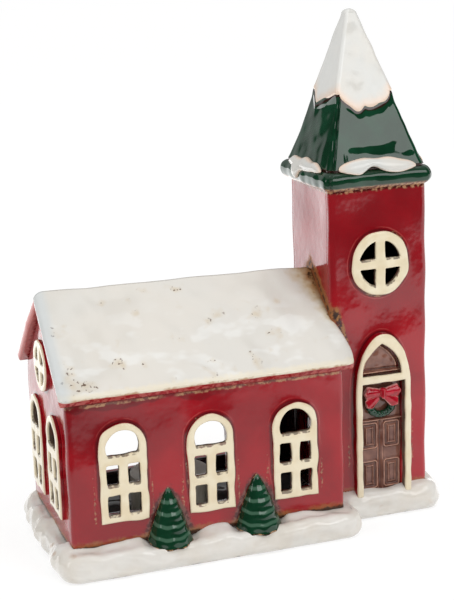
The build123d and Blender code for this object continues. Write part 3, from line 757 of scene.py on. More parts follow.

# %% [markdown]
# ## Red of the walls
#
# The red walls show lighter and deeper reds, drips and a crust of crumbs under the eaves, dark rings and
# tan grit beside the windows, a dusky haze round the trees, a burnt foot, and ochre and burnt crust where
# the roof meets the tower. Some of the lighter red is painted light and some of the deeper red painted shade,
# the dark rings are partly painted shade with a painted highlight beside them, and the inside is painted
# dark as painted shade. A picture for each wall could carry all that. Each of these is a sum of the place
# on the building, a mark on the mesh and some noise, because then it runs on from wall to wall.


# %% Finish of the walls
def wall_finish():
    """Red walls: burnt at the foot, crusted and dripping under the eaves, hazy round what is pressed on."""
    finish = Finish("red_glaze")
    colour = red_coat(finish)
    grain = finish.cloud(2.0)
    patches = finish.cloud(13.0)
    x, y, z = (finish.along(axis) for axis in "XYZ")

    # Painted light: a lighter red under the eaves, against their shade, and low on the tower.
    # Then painted shade, the drips and the crust under the eaves.
    on_long_side = abs(y).fade(y_nave - 2.6, y_nave - 1.2)
    colour = finish.mix(z.fade(z_eave - 11.0, z_eave - 3.0) * on_long_side * 0.2, colour, painted_light_red)
    low_tower = z.fade(z_floor + 64, z_floor + 24) * x.fade(x_join + 18, x_right - 6)
    colour = finish.mix(low_tower * 0.6, colour, painted_light_red)
    # Painted shade: a deeper red high on the tower and high on the long walls near the gable.
    high_tower = z.fade(z_floor + 76, z_floor + 116) * x.fade(x_join - 1, x_join + 1)
    top_left = x.fade(x_left + 64, x_left + 8) * z.fade(z_eave - 28, z_eave - 8) * on_long_side
    colour = finish.mix((high_tower * 0.28).most(top_left * 0.4), colour, pooled_and_shade_red)
    run = (finish.cloud(12.0, 1.0, (1.0, 1.0, 0.05)) - 0.5) * 9.0
    drips = (z + run).fade(z_eave - 3.6, z_eave - 2.6) * on_long_side * x.fade(x_join - 30, x_left + 40)
    colour = finish.mix(drips * 0.6, colour, pooled_and_shade_red)
    crust = abs(z + (grain - 0.5) * 1.8 - (z_eave - 0.2)).fade(1.0, 0.3) * on_long_side
    crumbly = finish.mix(grain.fade(0.4, 0.6), deep_brown, tan)
    colour = finish.mix(crust * patches.fade(0.34, 0.5) * 0.85, colour, crumbly)

    # Pooled, rusty and gritty rings round the windows, and dusk round the trees. The dark ring also stands
    # for a painted contact shadow low down, and outside it lies a thin painted highlight of pale red.
    ring = finish.mark("halo")
    colour = finish.mix((ring + (grain - 0.5) * 0.25).fade(0.35, 0.7) * 0.85, colour, pooled_and_shade_red)
    # Painted highlight: a thin pale red line just outside the dark ring.
    edge = abs(ring + (grain - 0.5) * 0.12 - 0.34).fade(0.08, 0.02) * patches.fade(0.42, 0.62)
    colour = finish.mix(edge * 0.35, colour, thin_red)
    rusty = (ring * patches.fade(0.5, 0.72) + (finish.cloud(1.2) - 0.5) * 0.6).fade(0.34, 0.6)
    colour = finish.mix(rusty * 0.65, colour, finish.mix(grain.fade(0.42, 0.6), burnt, tan))
    gritty = (finish.mark("grit") + (finish.cloud(1.5, 3.0) - 0.5) * 2.0).fade(0.66, 1.05)
    gritty = gritty * patches.fade(0.3, 0.5)
    colour = finish.mix(gritty * 0.65, colour, finish.mix(grain.fade(0.45, 0.6), tan, deep_brown))
    mottle = finish.mix(finish.cloud(2.0, 4.0).fade(0.42, 0.56), dusk, burnt)
    colour = finish.mix((finish.mark("dusk") + (grain - 0.5) * 0.6).fade(0.22, 0.6) * 0.8, colour, mottle)

    # Burnt along the foot.
    height = z - z_floor
    rusted = (height + (grain - 0.5) * 4.0).fade(4.4, 1.4) * patches.fade(0.3, 0.6)
    colour = finish.mix(rusted * 0.85, colour, ochre)
    colour = finish.mix((height + (grain - 0.5) * 2.4).fade(2.2, 1.0) * 0.9, colour, burnt)

    # Ochre and scorched where the roof meets the tower, and filled along the roof's end.
    lean = abs(y) * roof_slope + z
    beside_roof = x.fade(x_join - 1.0, x_join - 0.2) * x.fade(x_join + 6.0, x_join + 2.5)
    seam = (abs(lean - (z_ridge + 1.0)) + (grain - 0.5) * 7.0).fade(6.0, 1.0) * beside_roof
    colour = finish.mix(seam * 0.85, colour, ochre)
    scorch = (abs(lean - (z_ridge + 0.6)) + (grain - 0.5) * 4.5).fade(2.6, 0.6) * beside_roof
    colour = finish.mix(scorch * grain.fade(0.4, 0.58) * 0.95, colour, burnt)

    z_meet = z_ridge - y_tower * roof_slope
    past_roof = x - (x_join + 3.4) - (z_meet - z) * 0.31 + (grain - 0.5) * 3.0
    on_front = y.fade(1.4 - y_tower, 0.6 - y_tower) * z.fade(z_meet - 18, z_meet - 11)
    filled = abs(past_roof).fade(2.2, 0.8) * on_front * z.fade(z_meet + 6, z_meet + 2)
    colour = finish.mix(filled * 0.9, colour, finish.mix(grain.fade(0.42, 0.52), ochre, burnt))

    # Crumbly under the spire's rim, and dark inside as painted shade.
    under_rim = (z + (grain - 0.5) * 2.0).fade(z_tower - 1.6, z_tower - 0.4)
    colour = finish.mix(under_rim * 0.8, colour, finish.mix(grain.fade(0.45, 0.6), burnt, tan))
    colour = finish.mix(finish.mark("inside"), colour, painted_shade_dark)
    return finish.done(colour, gloss(finish) + 0.05 + seam * 0.5, pour(finish), 0.3, ior=1.5)


red_glaze = wall_finish()

# %% [markdown]
# ## Walls
#
# The real walls are slabs of clay about 5 mm thick, cut with a knife and joined with slip, so no edge is
# sharp and no face quite flat. Bevelled boxes would be too even. Each wall is a skin round a flat outline
# with its holes cut out. Glaze creeps up against whatever is pressed on, so the wall swells a little there,
# and marks say how near a point lies to windows and trees.

# %% Slab walls
wall_edge = 2.4
wall_cell = 0.85
sunk = 1.2
unevenness = 0.3
behind_corner = 1.35
window_inset = 2.4
creep, creep_reach = 0.5, 1.8
grit_away, grit_reach = 2.4, 3.0
window_nodes = {"front": ["front_window_left", "front_window_middle", "front_window_right"],
                "gable": ["gable_window_front", "gable_window_rear"]}


def fitting(face, node):
    """Where a node sits on a wall: the middle of its foot along and up, its width and its height."""
    low, high = face.room(node)
    return (low[0] + high[0]) / 2, low[1], high[0] - low[0], high[1] - low[1]


def haze(shapes, u, v, reach):
    """1 against the nearest outline, fading outwards over reach."""
    near = np.zeros(np.shape(u))
    for shape in shapes:
        near = np.maximum(near, np.exp(-np.maximum(shape(u, v), 0) / reach))
    return near


def clay_wall(node, face, outline, holes=(), fittings=(), trees=()):
    """A wall: an outline given thickness with rounded edges, less its holes, in a slow unevenness.

    Past six tenths of its thickness it is painted dark, as painted shade for the room inside. The marks halo
    and grit lie round what is pressed on, the mark dusk round the trees."""
    def gap(local):
        u, v, w = local[..., 0], local[..., 1], local[..., 2]
        solid = both(outline(u, v), np.abs(w + wall_thickness / 2) - wall_thickness / 2, wall_edge)
        for hole in holes:
            solid = both(solid, -hole(u, v), 0.8)
        swell = creep * haze(fittings, u, v, creep_reach) * (w > -wall_thickness / 2)
        return solid - swell + unevenness * ripple(face.world(local), 26, 4)

    low, high = face.room(node)
    margin = 4.0
    points, faces = skin(gap, low - margin, high + margin, wall_cell)
    u, v = points[:, 0], points[:, 1]
    outer = points[:, 2] > -wall_thickness / 2
    away = -grit_reach * np.log(np.maximum(haze(fittings, u, v, grit_reach), 1e-6))
    beside = np.exp(-((away - grit_away) / 0.9) ** 2)
    marks = {"grit": beside * outer * np.clip(1.7 - v / 30, 0, 1) * np.clip((v - 8) / 6, 0, 1),
             # The halo is weaker low on the wall but kept there, where it stands for a painted contact
             # shadow.
             "halo": haze(fittings, u, v, 1.5) * outer * np.clip((v - 10) / 16, 0.4, 1),
             "dusk": haze(trees, u, v, 2.2) * outer * np.clip(1.5 - v / 26, 0, 1),
             "inside": np.clip((-points[:, 2] - 0.6 * wall_thickness) / 0.8, 0, 1)}
    return make_piece("clay_" + node, face.world(points), faces, red_glaze, [node], marks=marks)


def at(shape, u0, v0, *sizes):
    """A flat shape moved along to u0 and up to v0."""
    return lambda u, v: shape(u - u0, v - v0, *sizes)


print("walls", round(wall_thickness, 2), "mm thick")

# %% [markdown]
# ## Outlines of the walls
#
# Seen flat, the long walls and the tower's walls are rectangles, the end walls have pointed gables, and the
# holes are arches and circles. They could be drawn as curves and filled. As distances they can be cut and
# softened by the skin. The end walls reach a little into the long walls, under their rounded corners, so
# that a corner shows one soft edge and no gap.

# %% Outlines of the walls
into_roof = 0.4
gable_half, gable_peak = y_nave - behind_corner, z_ridge_under - z_floor + into_roof
tree_power = 0.68


def window_shapes(face, nodes):
    """The outline of each arched window on a wall, and the smaller hole behind it."""
    outlines, holes = [], []
    for node in nodes:
        u0, v0, width, height = fitting(face, node)
        outlines.append(at(arch, u0, v0, width, height))
        holes.append(at(arch, u0, v0 + window_inset, width - 2 * window_inset, height - 2 * window_inset))
    return outlines, holes


def circle(u, v, radius, tall=1.0):
    """The distance to a circle about the origin, or to an oval when its height is tall times its width."""
    return np.hypot(u, v / tall) - radius


def upright(width, top):
    """A rectangle from just under the floor up to top, about the wall's middle."""
    middle = (top - sunk) / 2
    return lambda u, v: rectangle(u, v - middle, width / 2, (top + sunk) / 2)


def gable_outline(u, v):
    """A pointed end wall that reaches into the roof slabs: its sides, its foot and its two slopes."""
    slopes = (v - gable_peak + np.abs(u) * roof_slope) * np.cos(roof_pitch)
    return np.maximum(np.maximum(np.abs(u) - gable_half, -sunk - v), slopes)


def tree_outline(u, v, width, height):
    """A tree on the origin: its half width grows with a power of the way down from the tip."""
    down = np.clip(1 - v / height, 0, 1)
    return np.maximum((np.abs(u) - width / 2 * down ** tree_power) * 0.9, v - height)


print("gable", round(2 * gable_half, 1), "mm wide and", round(gable_peak, 1), "mm high")

# %% [markdown]
# ## Walls of the nave
#
# The nave is the long room: a front with three windows and two trees, a gable with two windows and a disc,
# a rear wall with a wide opening for the tealight, and a wall towards the tower with a passage for its
# light. Opening and passage could be boxes taken away afterwards. They are holes like the windows, so that
# their edges come out just as soft.

# %% Walls of the nave
x_nave = (x_left + x_join) / 2
front_face = WallFace((x_nave, -y_nave, z_floor), FRONT)
back_face = WallFace((x_nave, y_nave, z_floor), BACK)
gable_face = WallFace((x_left, 0, z_floor), LEFT)
join_face = WallFace((x_join, 0, z_floor), RIGHT)
nave_top = front_high[2] - z_floor - 2.2
nave_length = x_join - x_left

outlines, holes = window_shapes(front_face, window_nodes["front"])
tree_places = [fitting(front_face, node) for node in ("tree_left", "tree_right")]
trees = [at(tree_outline, *place) for place in tree_places]
clay_wall("nave_front_wall", front_face, upright(nave_length, nave_top), holes, outlines, trees)

rear_width, rear_height, rear_rise, rear_sill, rear_shift = 72.0, 49.0, 30.0, 7.0, 0.7
rear_opening = at(oval_arch, rear_shift, rear_sill, rear_width, rear_height, rear_rise)
clay_wall("nave_rear_wall", back_face, upright(nave_length, nave_top), [rear_opening])

outlines, holes = window_shapes(gable_face, window_nodes["gable"])
disc_u, disc_v, disc_width, _ = fitting(gable_face, "gable_round_window")
outlines.append(at(circle, disc_u, disc_v + disc_width / 2, disc_width / 2))
holes.append(at(circle, disc_u, disc_v + disc_width / 2, disc_width / 2 - window_inset))
clay_wall("nave_gable_wall", gable_face, gable_outline, holes, outlines)

passage = at(arch, 0, 0, 22.0, 60.0)
clay_wall("nave_tower_wall", join_face, gable_outline, [passage])

# %% [markdown]
# ## Walls of the tower
#
# The tower is a square shaft with the door and a round window in its front. It could be one tube. Four
# walls, as on the real object, give it the joints along its corners.

# %% Walls of the tower
tower_front = WallFace((x_tower, -y_tower, z_floor), FRONT)
tower_back = WallFace((x_tower, y_tower, z_floor), BACK)
tower_left = WallFace((x_join, 0, z_floor), LEFT)
tower_right = WallFace((x_right, 0, z_floor), RIGHT)
tower_rise = z_tower - z_floor + 2.0
tower_width = x_right - x_join
side_width = 2 * (y_tower - behind_corner)
door_u, _, frame_width, frame_height = fitting(tower_front, "door_frame")
_, _, door_width, door_height = fitting(tower_front, "door_panel")
disc_u, disc_v, disc_width, _ = fitting(tower_front, "tower_round_window")
disc_tall, disc_drop = 1.05, 0.7
disc_middle = disc_v + disc_width / 2 - disc_drop
tower_disc = at(circle, disc_u, disc_middle, disc_width / 2, disc_tall)
door_arch_rise = 28.0
frame_outline = at(oval_arch, door_u, -sunk, frame_width, frame_height + sunk, door_arch_rise)
tower_holes = [at(rectangle, door_u, door_height / 2 - sunk, door_width / 2, door_height / 2 + sunk),
               at(circle, disc_u, disc_middle, disc_width / 2 - window_inset, disc_tall)]
clay_wall("tower_front_wall", tower_front, upright(tower_width, tower_rise), tower_holes,
          [tower_disc, frame_outline])
clay_wall("tower_rear_wall", tower_back, upright(tower_width, tower_rise))
clay_wall("tower_left_wall", tower_left, upright(side_width, tower_rise), [passage])
clay_wall("tower_right_wall", tower_right, upright(side_width, tower_rise))

# %% [markdown]
# ## Plaques and panes
#
# The window frames are cream plaques pressed onto the wall, pierced with a knife. Their faces are cream,
# their sides were left in the wall's red, and dark crumbs of glaze lie on the sills of the panes. A flat
# shape with holes could be given thickness, but its edges would be sharp. The skin takes each pane out of
# the plaque with a softened edge. The mark coat says how far out a point lies, so that the finish can
# change glaze near the face, and the marks hidden and sill say how deep in a pane it lies and how near the
# pane's foot.

# %% Plaques and panes
plaque_edge = 0.9
pane_edge = 0.6
window_cell = 0.42
window_border, window_foot = 3.25, 3.6
pane_height, glazing_bar, transom = 9.4, 4.2, 4.6
red_lip = 0.75


def plaque(node, face, outline, panes, seed, wobbly=0.32, crumbs=1.0):
    """A raised plaque: its outline given thickness, less its panes.

    The mark coat is 0 on its red sides and 1 on its cream face, hidden lies deep in a pane and sill at its
    foot."""
    low, high = face.room(node)
    proud = high[2]

    def gap(local):
        u, v, w = local[..., 0], local[..., 1], local[..., 2]
        wobble = wobbly * ripple(face.world(local), 11, seed)
        solid = both(outline(u, v) + wobble, np.abs(w - proud / 2 + 0.4) - proud / 2 - 0.4, plaque_edge)
        for pane in panes:
            solid = both(solid, -pane(u, v) + wobble * 0.7, pane_edge)
        return solid + 0.1 * ripple(local, 7, seed + 1)

    points, faces = skin(gap, low - 2.0, high + 2.0, window_cell)
    u, v, w = points.T
    below = np.clip((proud - red_lip - w) / 0.6 + 0.5, 0, 1)
    beside = np.clip((outline(u, v) + 1.6) / 1.2, 0, 1)
    within = np.max([np.clip((1.1 - np.abs(pane(u, v))) / 0.6, 0, 1) for pane in panes], 0)
    deep = np.clip((proud - 1.0 - w) / 0.9 + 0.5, 0, 1)
    sill = np.max([np.clip((0.4 - pane(u, v + 1.1)) / 0.6, 0, 1) * (pane(u, v) > -0.6) for pane in panes], 0)
    return make_piece("glazed_" + node, face.world(points), faces, plaque_glaze, [node],
                      marks={"coat": 1 - beside * below, "hidden": within * deep, "sill": sill * crumbs})


def window_panes(u0, v0, width, height):
    """Two rows of two panes, and over them a half-round one."""
    clear = width - 2 * window_border
    pane_width = (clear - glazing_bar) / 2
    panes = []
    for row in range(2):
        middle = window_foot + pane_height / 2 + row * (pane_height + transom)
        for side in (-1, 1):
            along = u0 + side * (glazing_bar + pane_width) / 2
            panes.append(at(rectangle, along, v0 + middle, pane_width / 2, pane_height / 2, 0.8))
    foot = window_foot + 2 * (pane_height + transom)
    spring = height - width / 2

    def lunette(u, v):
        return both(np.hypot(u - u0, v - v0 - spring) - clear / 2, foot + v0 - v, 0.6)

    return panes + [lunette]


def quarter_panes(u0, v0, radius, tall, border, bar):
    """Four quarters of a disc, parted by a cross of bars."""
    def quarter(side_u, side_v):
        def shape(u, v):
            corner = both(bar / 2 - side_u * (u - u0), bar / 2 - side_v * (v - v0), 0.5)
            return both(circle(u - u0, v - v0, radius - border, tall), corner, 0.5)
        return shape
    return [quarter(a, b) for a in (-1, 1) for b in (-1, 1)]


print("panes", pane_height, "mm high under a half-round one")

# %% [markdown]
# ## Windows
#
# There are five arched windows with five panes each, and two discs with four quarter panes. One window
# could be copied. Each is drawn on its own with its own seed, as no two were cut alike by hand.

# %% Windows
for face, nodes, seed in ((front_face, window_nodes["front"], 20), (gable_face, window_nodes["gable"], 30)):
    for step, node in enumerate(nodes):
        place = fitting(face, node)
        plaque(node, face, at(arch, *place), window_panes(*place), seed + step)
round_windows = [(gable_face, "gable_round_window", 1.0, 0.0, 3.2, 4.4, 41),
                 (tower_front, "tower_round_window", disc_tall, disc_drop, 4.2, 4.9, 47)]
for face, node, tall, drop, border, bar, seed in round_windows:
    u0, v0, width, _ = fitting(face, node)
    radius = width / 2
    v0 = v0 + radius - drop
    panes = quarter_panes(u0, v0, radius, tall, border, bar)
    plaque(node, face, at(circle, u0, v0, radius, tall), panes, seed)


# %% [markdown]
# ## Door frame and fanlight
#
# A cream frame with an arched head stands round the door, and in its head lies a brown pointed field. The
# frame could be a bent bar. It is a plaque like those of the windows, and the field is a skin of its own
# set back in it, so that the two meet in a soft line.

# %% Door frame and fanlight
fan_trim = (-0.9, -0.8, -2.0, 0.5)
fan_u, fan_foot, fan_width, fan_rise = np.array(fitting(tower_front, "fanlight_panel")) + fan_trim
fan_power = 2.5


def pointed(u, v):
    """The distance to a pointed arch: its half width falls with a power of the height, to a point."""
    share = np.clip((v - fan_foot) / fan_rise, 0, 1)
    half = fan_width / 2 * (1 - share ** fan_power)
    lean = fan_width / 2 * fan_power * share ** (fan_power - 1) / fan_rise
    sides = (np.abs(u - fan_u) - half) / np.hypot(1, lean)
    return np.maximum(np.maximum(sides, fan_foot - v), v - fan_foot - fan_rise)


doorway = at(rectangle, door_u, door_height / 2 - sunk - 2.0, door_width / 2, door_height / 2 + sunk + 2.0)
plaque("door_frame", tower_front, frame_outline, [doorway, pointed], 53, wobbly=0.14, crumbs=0.0)


def line_of(distance, width):
    """A raised line along an outline: a bell over the distance to it."""
    return np.exp(-(distance / width) ** 2)


def make_fanlight():
    """The pointed field: a groove and a thin raised line follow its edge, and a ledge lies along its foot."""
    low, high = tower_front.room("fanlight_panel")

    def gap(local):
        u, v, w = local[..., 0], local[..., 1], local[..., 2]
        inside, up = -pointed(u, v), v - fan_foot
        # Each line has a height, a place and a width.
        edge = 0.5 * line_of(inside - 1.6, 0.45) - 0.7 * line_of(inside, 0.8)
        ledge = 0.9 * line_of(up - 1.2, 0.5) - 0.6 * line_of(up - 2.7, 0.5)
        face = w - high[2] + 0.5 - edge - ledge - 0.15 * ripple(local, 6, 55)
        return both(both(pointed(u, v) - 0.4, face, 0.5), low[2] - w, 0.3)

    points, faces = skin(gap, low - 3.0, high + 2.0, 0.34)
    make_piece("brown_fanlight", tower_front.world(points), faces, brown_glaze,
               ["fanlight_panel"])


make_fanlight()

# %% [markdown]
# ## Door
#
# The door is one pressed slab set back in its frame. It shows two leaves: panels with two nested mouldings
# each, a ledge over them and a plain field behind the wreath. Bars could be laid on one by one. Pressed
# clay has no separate bars, so the face is a formula of the place on the door, with raised lines along the
# outlines of rectangles. Thin glaze on those lines turns them tan.

# %% Door leaves
door_low, door_high = tower_front.room("door_panel")
panel_width, panel_middle = 7.8, 5.8
ledge_z, ledge_line = 35.4, 0.55
panels = {"lower": (1.4, 14.9), "upper": (21.5, 34.0)}
moulding_rise, moulding_line = 0.85, 0.5
inner_inset, inner_corner = 2.1, 1.2
door_inset = 0.9


def door_face(u, v):
    """How far the door's face stands out: bells along the mouldings, the ledge and the groove, and lumps."""
    across = u - door_u
    # The ledge and the step over it, the groove between the leaves, and a bead on each side of the groove.
    rise = 0.9 * line_of(v - ledge_z, ledge_line) - 0.35 * (v > ledge_z + 0.8)
    rise = rise - 0.7 * line_of(across, 0.5) * (v < ledge_z)
    rise = rise + 0.35 * (line_of(across - 1.3, 0.35) + line_of(across + 1.3, 0.35)) * (v < ledge_z - 0.8)
    # Each panel has two nested mouldings and a raised middle.
    for foot, head in panels.values():
        place = at(rectangle, 0, (foot + head) / 2, panel_width / 2, (head - foot) / 2, inner_corner)
        outer = place(np.abs(across) - panel_middle, v)
        lines = line_of(outer, moulding_line) + line_of(outer + inner_inset, moulding_line)
        rise = rise + moulding_rise * lines
        rise = rise + 0.4 * (outer < -inner_inset)
    return rise + 0.12 * ripple(np.stack([u, v, 0 * u], -1), 5, 57)


def slab(u, v, front, back):
    """A flat piece as closed loops.

    Each row runs along the front and home along the back, and the end rows are flat."""
    across, up = np.meshgrid(u, v)
    face = np.stack([across, up, front(across, up)], -1)
    rear = np.stack([across, up, np.full_like(across, back)], -1)
    loops = np.concatenate([face, rear[:, ::-1]], 1)
    flat = np.concatenate([rear, rear[:, ::-1]], 1)
    return np.concatenate([flat[:1], loops, flat[-1:]])


def make_door():
    """A slab whose front is door_face."""
    u = np.linspace(door_low[0], door_high[0], 100)
    v = np.linspace(door_low[1], door_high[1], 240)
    points = slab(u, v, lambda a, b: door_high[2] - door_inset + door_face(a, b), door_low[2])
    make_loops("brown_door", tower_front.world(points), brown_glaze, "brown_glaze", "door_panel")


make_door()

# %% [markdown]
# ## Wreath
#
# The wreath is a ring of green clay, nicked all round to look like leaves. Leaves could be scattered over a
# ring. These are nicks of one tool in one roll of clay, so the ring is a circle carried round a circle,
# with slanting waves over it.


# %% Wreath
def leaf_finish():
    """The green glaze over fine nicks."""
    finish = Finish("leaf_glaze")
    colour = green_coat(finish)
    return finish.done(colour, gloss(finish), finish.cloud(2.4, 3.0), 0.12, ior=1.5)


leaf_glaze = leaf_finish()


def make_wreath():
    """A circle carried round a flattened circle; its radius follows two waves that slant round the ring."""
    low, high = tower_front.room("door_wreath")
    ring, thick, oval, lift = 5.8, 2.0, 0.84, 1.6
    round_it = np.linspace(0, 2 * np.pi, 181)[:, None]
    section = np.linspace(0, 2 * np.pi, 40, endpoint=False)[None]
    leaves = 1 + 0.05 * np.cos(13 * round_it + 2 * section) + 0.03 * np.cos(22 * round_it - 3 * section)
    size = thick * leaves
    reach = ring + size * np.cos(section)
    middle = (low + high) / 2
    middle[1] = low[1] + (ring + thick) * oval
    points = np.stack([middle[0] + reach * np.cos(round_it), middle[1] + reach * np.sin(round_it) * oval,
                       low[2] + lift + size * np.sin(section) * 0.8], -1)
    make_loops("leaf_wreath", tower_front.world(points), leaf_glaze, "green_glaze", "door_wreath")


make_wreath()

# %% [markdown]
# ## Bow
#
# The bow is red, with pleated loops and tails whose edges came out pink where the glaze ran thin. Cloth
# could be folded for it, but this bow was cut from clay. Each loop and tail is an oval carried outwards
# from the knot while it widens, with pleats across its face.


# %% Bow
def bow_finish():
    """Crimson in blots, pink along the mark rim where the glaze ran thin."""
    finish = Finish("bow_glaze")
    colour = finish.mix(finish.cloud(3.0).fade(0.4, 0.65), paint(156, 6, 26), paint(184, 24, 46))
    rim = finish.mark("rim") + (finish.cloud(1.8) - 0.5) * 0.7
    colour = finish.mix(rim.fade(0.5, 0.95) * 0.85, colour, paint(236, 170, 164))
    return finish.done(colour, gloss(finish), pour(finish), 0.2, ior=1.5)


bow_glaze = bow_finish()


def bow_leaf(start, end, narrow, wide, depth):
    """A loop or tail: an oval carried from start to end, wider on the way.

    A wave across it gives the pleats and the scallops at its end. The fourth value is the mark rim."""
    start, end = np.array(start, float), np.array(end, float)
    length = np.linalg.norm(end - start)
    ahead = (end - start) / length
    sideways = np.array([-ahead[1], ahead[0]])
    share = np.linspace(0, 1, 44)[:, None]
    turn = np.linspace(0, 2 * np.pi, 72, endpoint=False)[None]
    shut = np.sqrt(np.clip(1 - np.abs(2 * share - 1) ** 9, 0, 1))
    pleat = np.cos(np.pi * np.cos(turn))
    across = np.cos(turn) * (narrow + (wide - narrow) * share ** 0.8) * shut
    reach = length * share + 0.55 * share ** 4 * pleat
    pleated = 0.42 * share * pleat * np.maximum(np.sin(turn), 0)
    out = (np.sin(turn) * depth * (0.8 + 0.2 * share) + pleated) * shut
    flat = start + reach[..., None] * ahead + across[..., None] * sideways
    rim = np.maximum(np.abs(np.cos(turn)) ** 2.4, share ** 5) * np.ones_like(out)
    return np.concatenate([flat, out[..., None], rim[..., None]], -1)


def make_bow():
    """Two loops, two tails and a knot, each carried outwards from the knot."""
    low, high = tower_front.room("door_bow")
    middle = (low[0] + high[0]) / 2
    half = (high[0] - low[0]) / 2 - 0.5
    knot_v = high[1] - 3.4
    parts = []
    for side in (-1, 1):
        tail_end = (side * half * 0.86, low[1] + 1.6)
        parts.append(bow_leaf((side * 0.6, knot_v), (side * half, knot_v + 0.4), 1.7, 3.6, 1.8))
        parts.append(bow_leaf((side * 1.6, knot_v - 1.4), tail_end, 1.6, 3.0, 1.2))
    parts.append(bow_leaf((0, knot_v + 2.5), (0, knot_v - 2.4), 1.9, 1.9, 2.0))
    points, rim = np.stack(parts)[..., :3], np.stack(parts)[..., 3]
    points[..., 0] += middle
    layers = np.array([0, -0.3, 0, -0.3, 0.3])  # tails behind the loops, the knot before them
    points[..., 2] += high[2] - 2.0 + layers[:, None, None]
    make_loops("pleated_bow", tower_front.world(points), bow_glaze, "bow_glaze", "door_bow", rim=rim)


make_bow()

# %% [markdown]
# ## White of the base
#
# The snow is white glaze with brown specks, rusty along the line where it stands. The underside is bare
# clay, because a glazed one would stick to the kiln's shelf. It could be one plain white. Rust and bare
# clay follow the height on the object, and the mark inside greys the floor within the walls as painted shade.


# %% White of the base
def base_finish():
    """White, brown along its foot, grey inside the walls as painted shade, and bare clay underneath."""
    finish = Finish("snow_glaze")
    colour = snow_coat(finish)
    grain = finish.cloud(2.4)
    foot = (finish.along("Z") + (grain - 0.5) * 2.0).fade(1.3, 0.4) * finish.cloud(14.0).fade(0.42, 0.6)
    colour = finish.mix(foot * 0.8, colour, finish.mix(grain.fade(0.4, 0.6), burnt, ochre))
    # Painted shade: the floor within the walls is greyed.
    colour = finish.mix(finish.mark("inside"), colour, paint(92, 90, 90))
    under = finish.along("Z").fade(0.4, 0.1)
    colour = finish.mix(under, colour, finish.mix(grain.fade(0.3, 0.7), paint(222, 206, 180), tan))
    return finish.done(colour, gloss(finish) + under * 0.6, pour(finish), 0.7, ior=1.5)


snow_glaze = base_finish()

# %% [markdown]
# ## Outline of the base
#
# Seen from above, the base is a long rectangle with a narrower one under the tower, and every corner is
# round. It could be drawn as a curve. As a list of evenly spaced points it can be moved in and out by a
# formula.


# %% Outline of the base
def rounded_path(points, radius, spacing):
    """A closed outline in even steps: straight runs, and at each corner an arc of its radius."""
    points = np.array(points, float)
    radius = np.broadcast_to(radius, len(points))[:, None]
    before = np.roll(points, 1, 0) - points
    after = np.roll(points, -1, 0) - points
    before /= np.linalg.norm(before, axis=1, keepdims=True)
    after /= np.linalg.norm(after, axis=1, keepdims=True)
    share = np.linspace(0, np.pi / 2, 9)[None, :, None]
    centre = points + radius * (before + after)
    swing = after[:, None] * np.cos(share) + before[:, None] * np.sin(share)
    arcs = centre[:, None] - radius[:, None] * swing
    line = arcs.reshape(-1, 2)
    line = np.concatenate([line, line[:1]])
    length = np.concatenate([[0], np.cumsum(np.linalg.norm(np.diff(line, axis=0), axis=1))])
    place = np.arange(0, length[-1], spacing)
    return np.stack([np.interp(place, length, line[:, axis]) for axis in range(2)], -1)


base_roll = 5.2
base_half = base_high[0]
base_step = x_join + 7.0
tower_base_half = y_tower + 6.8
nave_base_half = base_high[1]
bank_height, bank_reach = 2.6, 3.6
base_corners = [10, 9, 6, 9, 9, 6, 9, 20]
print("base", round(2 * base_half, 1), "by", round(2 * nave_base_half, 1), "mm")

# %% [markdown]
# ## Base of snow
#
# The base is a thick slab of white-glazed clay rolled over at its edge like a drift, with bare clay
# underneath. It could be a box worked over with a brush. Its surface is a profile carried along the
# outline, so that the roll goes round every corner: out along the flat underside, round the edge, and in
# along the lumpy top to a line down the middle. Against the walls the snow is pressed up into a low bank.


